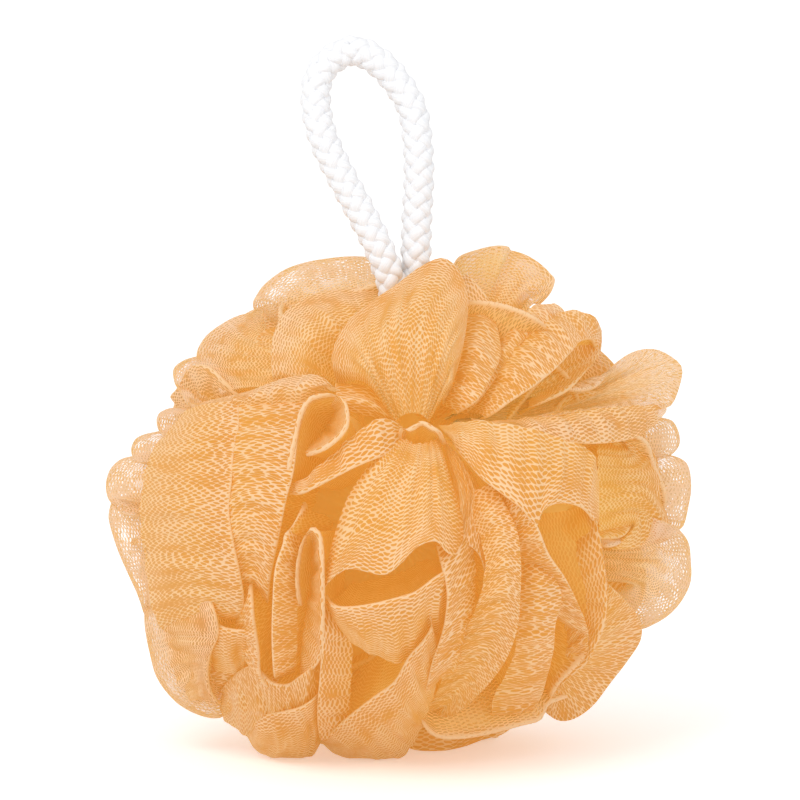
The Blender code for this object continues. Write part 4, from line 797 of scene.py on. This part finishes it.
def scattered_grids(kind, rim_lift):
    """The grids of one set of scattered ruffles, every third of them drawn out across."""
    grids = []
    for number in range(kind["count"]):
        rows = arc_rows(number, scattered_direction(number, kind), rim_lift)
        grid, run = ruffle_grid(rows, kind["places"], kind["across"], 1.7 * number)
        grid = sunk_ends(grid, run, unit(BALL_CENTRE - grid))
        drawn = number % 3 == 0
        net, lie = net_coordinates(grid, run, kind["across"], number, drawn, kind["thin"])
        grids.append((pressed_flat(grid, SCATTERED_SOFT), net, lie))
    return grids


netting_far = mesh_from_grids("netting_far", scattered_grids(FAR, far_lift))
netting_inner = mesh_from_grids("netting_inner", scattered_grids(INNER, inner_lift))

# %% [markdown]
# ## The gathered middle
# Where the netting is drawn together its layers lie so close that nothing shows through. A ball
# with radiating pleats stands for them.

# %% Gathered middle
GATHER_SHARE = 0.62
GATHER_PLEATS = 26
GATHER_RIPPLE = 0.03
GATHER_NET = 30 * MM


def gathered_middle():
    """A ball whose radius has a ripple: 1 + a sine of its pleats times the angle round the
    front-to-back axis, faded at both poles by the sine of the angle from the axis."""
    polar = np.linspace(0.0, math.pi, 49)[:, None]
    around = np.linspace(0.0, 2 * math.pi, 209)[None, :]
    pleats = np.sin(GATHER_PLEATS * around + 2.0 * np.sin(3 * polar))
    ripple = 1.0 + GATHER_RIPPLE * pleats * np.sin(polar)
    x = np.sin(polar) * np.cos(around) * ripple
    y = -np.cos(polar) * ripple
    z = np.sin(polar) * np.sin(around) * ripple
    directions = np.stack(np.broadcast_arrays(x, y, z), axis=-1)
    grid = BALL_CENTRE + GATHER_SHARE * BALL_HALF * directions
    net = np.stack(np.broadcast_arrays(around * GATHER_NET, polar * GATHER_NET), axis=-1)
    return grid, net, np.zeros(net.shape) + (0.0, 1.0)


netting_middle = mesh_from_grids("netting_middle", [gathered_middle()])

# %% [markdown]
# ## The braided cord
# The cord is a round braid of eight thick, soft yarns. A bump texture on a tube would keep its
# outline smooth, but the real outline is scalloped, so each yarn is a tube of its own: four wind
# one way and four the other, and each passes over one yarn and under the next.

# %% Braid the cord
YARNS_EACH_WAY = 4
BRAID_LAY = 13.2 * MM
BRAID_RADIUS = 2.02 * MM
BRAID_SWING = 0.36 * MM
YARN_HALF_WIDTH = 1.22 * MM
YARN_HALF_THICKNESS = 0.78 * MM
YARN_SIDES = 10
CORE_RADIUS = 1.7 * MM
CORE_SIDES = 12


def frames_along(line):
    """Two unit vectors square to a curve: ahead x y, and ahead x that. The cord never runs
    front to back, along y, so neither turns round it on the way."""
    ahead = unit(np.gradient(line, axis=0))
    side = unit(np.cross(ahead, (0.0, 1.0, 0.0)))
    return side, np.cross(ahead, side)


def yarn_grid(line, side, up, hand, number):
    """A yarn of the braid: angle = hand * 2 pi (s / lay + number / 4), and its distance from
    the middle is the braid's radius plus or minus a cosine of four waves a lay."""
    gone = np.linalg.norm(np.diff(line, axis=0), axis=1)
    gone = np.concatenate(([0.0], np.cumsum(gone)))
    angle = hand * 2 * math.pi * (gone / BRAID_LAY + number / YARNS_EACH_WAY)
    swing = hand * BRAID_SWING * np.cos(2 * YARNS_EACH_WAY * math.pi * gone / BRAID_LAY)
    outwards = np.cos(angle)[:, None] * side + np.sin(angle)[:, None] * up
    centre = line + (BRAID_RADIUS + swing)[:, None] * outwards
    ahead = unit(np.gradient(centre, axis=0))
    flat = unit(np.cross(ahead, outwards))
    round_it = np.linspace(0.0, 2 * math.pi, YARN_SIDES + 1)[:, None, None]
    grid = (
        centre
        + YARN_HALF_WIDTH * np.cos(round_it) * flat
        + YARN_HALF_THICKNESS * np.sin(round_it) * np.cross(flat, ahead)
    )
    net = np.stack(np.broadcast_arrays(gone[None, :], round_it[..., 0] * 0.001), axis=-1)
    return grid, net, net


def core_grid(line, side, up):
    """The braid's filling, a smooth tube that closes the gaps between the yarns."""
    round_it = np.linspace(0.0, 2 * math.pi, CORE_SIDES + 1)[:, None, None]
    grid = line + CORE_RADIUS * (np.cos(round_it) * side + np.sin(round_it) * up)
    net = np.zeros(grid.shape[:2] + (2,))
    return grid, net, net


side, up = frames_along(cord_line)
cord_grids = [core_grid(cord_line, side, up)]
for number in range(YARNS_EACH_WAY):
    for hand in (1, -1):
        cord_grids.append(yarn_grid(cord_line, side, up, hand, number))
cord_grids = [(grid - TO_ORIGIN, net, lie) for grid, net, lie in cord_grids]
braided_cord = mesh_from_grids("braided_cord", cord_grids)

# %% [markdown]
# ## Shader maths
# A material's pattern is arithmetic on a few numbers, such as the distance along the rim. In the
# node editor that would be dozens of boxes, so a small class stands for one value in the tree
# and its operators add the boxes.


# %% One value in a material
class Shade:
    """A number, vector or colour in a material's nodes."""

    def __init__(self, socket):
        self.socket = socket

    def new(self, kind, settings, inputs, output=0):
        """A node of this kind in the same material. Its settings come first, because some of
        them change which sockets it has. An input is a number, a colour or another Shade."""
        node = self.socket.id_data.nodes.new(kind)
        for name, value in settings.items():
            setattr(node, name, value)
        for name, value in inputs.items():
            if isinstance(value, Shade):
                self.socket.id_data.links.new(value.socket, node.inputs[name])
            else:
                node.inputs[name].default_value = value
        return Shade(node.outputs[output])

    def math(self, operation, *others):
        return self.new("ShaderNodeMath", {"operation": operation}, dict(enumerate((self, *others))))

    def vector(self, operation, *others, output=0):
        inputs = dict(enumerate((self, *others)))
        return self.new("ShaderNodeVectorMath", {"operation": operation}, inputs, output)

    def __add__(self, other):
        return self.math("ADD", other)

    def __mul__(self, other):
        return self.math("MULTIPLY", other)

    def __sub__(self, other):
        return self.math("SUBTRACT", other)

    def __rsub__(self, other):
        return self.math("MULTIPLY_ADD", -1.0, other)

    def __truediv__(self, other):
        return self.math("DIVIDE", other)

    __radd__ = __add__
    __rmul__ = __mul__

    def rise(self, low, high):
        """0 below low, 1 above high and an S-shaped curve between."""
        inputs = {"Value": self, "From Min": low, "From Max": high}
        return self.new("ShaderNodeMapRange", {"interpolation_type": "SMOOTHSTEP"}, inputs)

    def blend(self, first, second):
        """The colour from first, where this is 0, to second, where it is 1."""
        return self.new("ShaderNodeMix", {"data_type": "RGBA"}, {0: self, 6: first, 7: second}, 2)

    def noise(self, scale, detail=2.0):
        """Smooth noise from 0 to 1 at this place, with about scale lumps in a metre."""
        return self.new("ShaderNodeTexNoise", {}, {"Vector": self, "Scale": scale, "Detail": detail})

    def parts(self):
        """The x, y and z of a vector."""
        node = self.new("ShaderNodeSeparateXYZ", {}, {0: self}).socket.node
        return [Shade(socket) for socket in node.outputs]


# %% [markdown]
# ## Colours and materials
# A colour is easiest to judge as a screen shows it, and a material takes it as an amount of
# light, so one helper turns the first into the second. Typing linear numbers would work too, but
# nobody can picture them.


# %% Colours and materials
def srgb(red, green, blue):
    """A screen colour, 0 to 255, as the linear colour that a material takes."""
    screen = np.array((red, green, blue)) / 255
    linear = np.where(screen < 0.04045, screen / 12.92, ((screen + 0.055) / 1.055) ** 2.4)
    return (*linear.tolist(), 1.0)


def new_material(name):
    """A material, its Principled shader's sockets and a starting value that reads Object places."""
    material = bpy.data.materials.new(name)
    material.use_nodes = True
    shader = material.node_tree.nodes["Principled BSDF"]
    places = material.node_tree.nodes.new("ShaderNodeTexCoord")
    return material, shader.inputs, Shade(places.outputs["Object"])


def feed(socket, value):
    socket.id_data.links.new(value.socket, socket)


print("mid grey on a screen is", round(srgb(128, 128, 128)[0], 3), "of white's light")

# %% [markdown]
# ## The netting's finish
# Real pouf netting is a knitted or extruded diamond mesh of thin, slightly shiny strands. Modelling
# each strand would take millions of faces, so the holes are cut by the material's opacity, from
# net coordinates that the mesh carries. The colour is painted deeper inwards and behind each rim,
# a painted shade and painted glow for light that reaches there through many orange layers, and
# the holes are painted the colour of the layers behind them. So much light is passed on between
# the layers that the hollows look lit from within. Following every bounce would be slow, so a
# faint glow of the material's own, a painted glow, stands for the last of them, and a part of the
# light goes through each layer.

# %% Netting material
RIM_LINE = 0.25 * MM
RIM_END = 0.8 * MM
BEHIND = 3.0 * MM
INWARDS = 12.0 * MM
FILM_END = (3.0 * MM, 9.0 * MM)
WANDER_SCALE = 150.0
WANDER_REACH = 3.4 * MM
FILM_FADES = 0.7
FILM_CLOSES = 0.14
PATCHES = 0.7
FILM_PATCHES = 1.3
RIM_CLOSES = 0.5
HOLE_EDGE = (-0.07, 0.1)
# Painted glow and shade: the colour turns deeper inside this share of the ball, and behind or far in from
# a rim
PAINTED_GLOW_OUT = (0.6, 0.95)
BEHIND_TO_PAINTED_GLOW = 0.8
INWARDS_TO_PAINTED_GLOW = 0.18
RIM_PALES = 0.4
CLEAR = 0.1
FILM_CLEAR = 0.8
RIM_COVERS = 0.6
LET_THROUGH = 0.36
PASSED_ON = srgb(233, 194, 122)
GLOW = 0.285
GLOW_COLOUR = srgb(228, 186, 94)
# Painted glow and shade: the DEEP colours are painted for far in and behind rims; the holes' colours are
# painted for the layers behind them
STRAND_DEEP_PAINTED_GLOW = srgb(237, 210, 126)
STRAND_FRONT = srgb(234, 213, 182)
STRAND_THIN = srgb(224, 204, 186)
STRAND_RIM = srgb(236, 215, 180)
HOLE_DEEP_PAINTED_GLOW = srgb(234, 189, 80)
HOLE_FRONT_PAINTED_SHADE = srgb(211, 143, 62)
HOLE_THIN = srgb(206, 168, 136)


def netting_material(name, closed_up, see_through):
    """A diamond net: m = 4 * da * db, with da and db the distances of a = u / length + v / width
    and b = u / length - v / width from whole numbers. A hole is where m passes a limit, which
    wanders, so that the net is open in some places and nearly shut in others. The colour is
    painted deeper far in and behind a rim, as painted shade and painted glow, and the holes are
    painted the colour of the layers behind them, in painted shade on the front. It is paler where
    the netting is thin. Only the holes of thin netting show what is behind them."""
    material, sockets, place = new_material(name)
    net = place.new("ShaderNodeUVMap", {"uv_map": "net"}, {})
    wander = Shade(net.noise(WANDER_SCALE, 3.0).socket.node.outputs["Color"])
    moved = wander.vector("SUBTRACT", (0.5, 0.5, 0.5)).vector("MULTIPLY", (WANDER_REACH,) * 3)
    u, v, _ = net.vector("ADD", moved).parts()
    a = (u / HOLE_LENGTH + v / HOLE_WIDTH).math("PINGPONG", 0.5)
    b = (u / HOLE_LENGTH - v / HOLE_WIDTH).math("PINGPONG", 0.5)
    m = 4.0 * a * b
    thin, from_rim, _ = place.new("ShaderNodeUVMap", {"uv_map": "lie"}, {}).parts()
    thin = thin * (1.0 - FILM_FADES * from_rim.rise(*FILM_END))
    near_rim = 1.0 - from_rim.math("ABSOLUTE").rise(RIM_LINE, RIM_END)
    _, _, patches = wander.parts()
    patches = (PATCHES + FILM_PATCHES * thin) * (patches - 0.5)
    limit = closed_up + FILM_CLOSES * thin + patches + RIM_CLOSES * near_rim
    hole = (m - limit).rise(*HOLE_EDGE)

    centre = tuple(BALL_CENTRE + TO_ORIGIN)
    outwards = place.vector("SUBTRACT", centre).vector("DIVIDE", tuple(BALL_HALF))
    out = outwards.vector("LENGTH", output="Value")
    behind = (0.0 - from_rim).rise(0.0, BEHIND)
    inwards = from_rim.rise(RIM_END, INWARDS)
    # painted shade and glow: 1 on the outer faces, less far in, behind a rim and away from it
    front = out.rise(*PAINTED_GLOW_OUT) * (1.0 - BEHIND_TO_PAINTED_GLOW * behind) * (1.0 - INWARDS_TO_PAINTED_GLOW * inwards)
    strand = thin.blend(front.blend(STRAND_DEEP_PAINTED_GLOW, STRAND_FRONT), STRAND_THIN)
    # the holes' colour is painted: the layers behind them, in painted shade on the front and painted glow
    # far in
    gap = thin.blend(front.blend(HOLE_DEEP_PAINTED_GLOW, HOLE_FRONT_PAINTED_SHADE), HOLE_THIN)
    colour = (near_rim * RIM_PALES).blend(hole.blend(strand, gap), STRAND_RIM)
    feed(sockets["Base Color"], colour)
    clear = (CLEAR + FILM_CLEAR * thin) * (1.0 - RIM_COVERS * near_rim)
    cover = 1.0 - hole * clear * float(see_through)
    feed(sockets["Alpha"], cover)
    film = place.new("ShaderNodeBsdfTranslucent", {}, {"Color": PASSED_ON})
    clear_air = place.new("ShaderNodeBsdfTransparent", {}, {})
    film = place.new("ShaderNodeMixShader", {}, {0: cover, 1: clear_air, 2: film})
    surface = Shade(sockets["Base Color"].node.outputs[0])
    both = place.new("ShaderNodeMixShader", {}, {0: LET_THROUGH, 1: surface, 2: film})
    feed(material.node_tree.nodes["Material Output"].inputs["Surface"], both)
    bump = place.new("ShaderNodeBump", {}, {"Height": 1.0 - m, "Distance": 0.1 * MM, "Strength": 0.4})
    feed(sockets["Normal"], bump)
    # painted glow: the material's own emission stands for light passed on between the layers
    sockets["Emission Color"].default_value = GLOW_COLOUR
    sockets["Emission Strength"].default_value = GLOW
    sockets["Roughness"].default_value = 0.45
    sockets["Specular IOR Level"].default_value = 0.22
    return material


net_open = netting_material("orange_netting", 0.15, see_through=True)
net_deep = netting_material("orange_netting_gathered", 0.95, see_through=False)

# %% [markdown]
# ## The cord's finish
# The yarns are soft white fibre, each thread of it lying along the yarn. Noise stretched along
# the yarn gives both the faint grey lines and the bump.

# %% Cord material
CORD_WHITE = srgb(245, 245, 246)
CORD_SHADE = srgb(234, 235, 238)


def cord_material():
    """White with fine threads: noise read from net coordinates, much finer round the yarn."""
    material, sockets, place = new_material("white_braid")
    net = place.new("ShaderNodeUVMap", {"uv_map": "net"}, {})
    threads = net.vector("MULTIPLY", (0.25, 2.0, 1.0)).noise(2600.0, 3.0)
    feed(sockets["Base Color"], threads.rise(0.3, 0.7).blend(CORD_SHADE, CORD_WHITE))
    bump = place.new("ShaderNodeBump", {}, {"Height": threads, "Distance": 0.15 * MM, "Strength": 0.5})
    feed(sockets["Normal"], bump)
    sockets["Roughness"].default_value = 0.75
    return material


white_braid = cord_material()
for thing, material in (
    (netting_front, net_open),
    (netting_far, net_open),
    (netting_inner, net_open),
    (netting_middle, net_deep),
    (braided_cord, white_braid),
):
    thing.data.materials.append(material)
print("materials:", [m.name for m in bpy.data.materials])

# %% [markdown]
# ## Each piece in the frame
# Each piece hangs from the frame's root body, and the solid that it stands for is hidden. The
# point where the cord leaves the netting is printed.

for thing in (netting_front, netting_far, netting_inner, netting_middle):
    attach(thing, "root")
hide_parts("net_ruffles")
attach(braided_cord, "root")
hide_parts("hanging_cord")
LEAVES_AT = 90 * MM
leaves = cord_line[int(np.argmax(cord_line[:, 2] > LEAVES_AT))]
print("the cord leaves the netting at", np.round(leaves / MM, 1), "mm")

# %% [markdown]
# ## Floor, light and camera
# A white floor and a white world make the plain background, and a large soft lamp at the upper
# left models the folds as the photograph's light does.

# %% Stage
FLOOR_SIZE = 6.0


def seen_rays(tree):
    """1 for rays from the camera, and for those seen in gloss or through glass."""
    paths = tree.nodes.new("ShaderNodeLightPath").outputs
    camera, glossy = Shade(paths["Is Camera Ray"]), Shade(paths["Is Glossy Ray"])
    return camera.math("MAXIMUM", glossy).math("MAXIMUM", Shade(paths["Is Transmission Ray"]))


def stage_material():
    """Matt white, and a little brighter to the eye, so that it stays white far from the lamps
    and still keeps a shadow."""
    material, sockets, _ = new_material("plain_floor")
    sockets["Base Color"].default_value = srgb(250, 250, 250)
    sockets["Roughness"].default_value = 0.9
    sockets["Specular IOR Level"].default_value = 0.1
    sockets["Emission Color"].default_value = (1.0, 1.0, 1.0, 1.0)
    feed(sockets["Emission Strength"], 0.3 * seen_rays(material.node_tree))
    return material


half = FLOOR_SIZE / 2
corners = [(-half, -half, 0), (half, -half, 0), (half, half, 0), (-half, half, 0)]
floor_mesh = bpy.data.meshes.new("floor")
floor_mesh.from_pydata(corners, [], [(0, 1, 2, 3)])
floor_mesh.materials.append(stage_material())
floor = bpy.data.objects.new("floor", floor_mesh)
bpy.context.scene.collection.objects.link(floor)

print("the floor is", FLOOR_SIZE, "m square")

# %% World and lamps
world = bpy.data.worlds.new("studio")
world.use_nodes = True
bpy.context.scene.world = world
sky = world.node_tree.nodes["Background"].inputs
sky["Color"].default_value = (1.0, 1.0, 1.0, 1.0)
WORLD_LIGHT = 0.8
feed(sky["Strength"], WORLD_LIGHT + (1.0 - WORLD_LIGHT) * seen_rays(world.node_tree))


def soft_lamp(name, place, size, watts):
    """A square lamp at a place, turned to the ball's centre."""
    data = bpy.data.lights.new(name, "AREA")
    data.size = size
    data.energy = watts
    lamp = bpy.data.objects.new(name, data)
    lamp.location = place
    towards = mathutils.Vector(BALL_CENTRE + TO_ORIGIN) - lamp.location
    lamp.rotation_euler = towards.to_track_quat("-Z", "Y").to_euler()
    bpy.context.scene.collection.objects.link(lamp)
    print(name, "is", size, "m wide and gives", watts, "W")


soft_lamp("key_lamp", (-0.45, -0.75, 0.95), 0.6, 5.0)
soft_lamp("fill_lamp", (0.8, -0.8, 0.5), 0.8, 1.5)

# %% Camera
FRAME_WIDTH = 160.0 * MM
tilt_sin, tilt_cos = math.sin(VIEW_TILT), math.cos(VIEW_TILT)
aim = BALL_CENTRE + TO_ORIGIN + AIM_ABOVE_CENTRE * np.array((0.0, tilt_sin, tilt_cos))
stand = aim + VIEW_DISTANCE * np.array((0.0, -tilt_cos, tilt_sin))
lens = bpy.data.cameras.new("camera")
lens.sensor_width = 36.0
lens.lens = lens.sensor_width * VIEW_DISTANCE / FRAME_WIDTH
camera = bpy.data.objects.new("camera", lens)
camera.location = stand.tolist()
camera.rotation_euler = (math.pi / 2 - VIEW_TILT, 0.0, 0.0)
bpy.context.scene.collection.objects.link(camera)
bpy.context.scene.camera = camera
print("the camera has a", round(lens.lens, 1), "mm lens")
bpy.context.scene.view_settings.view_transform = "Standard"
bpy.context.scene.cycles.transparent_max_bounces = 8
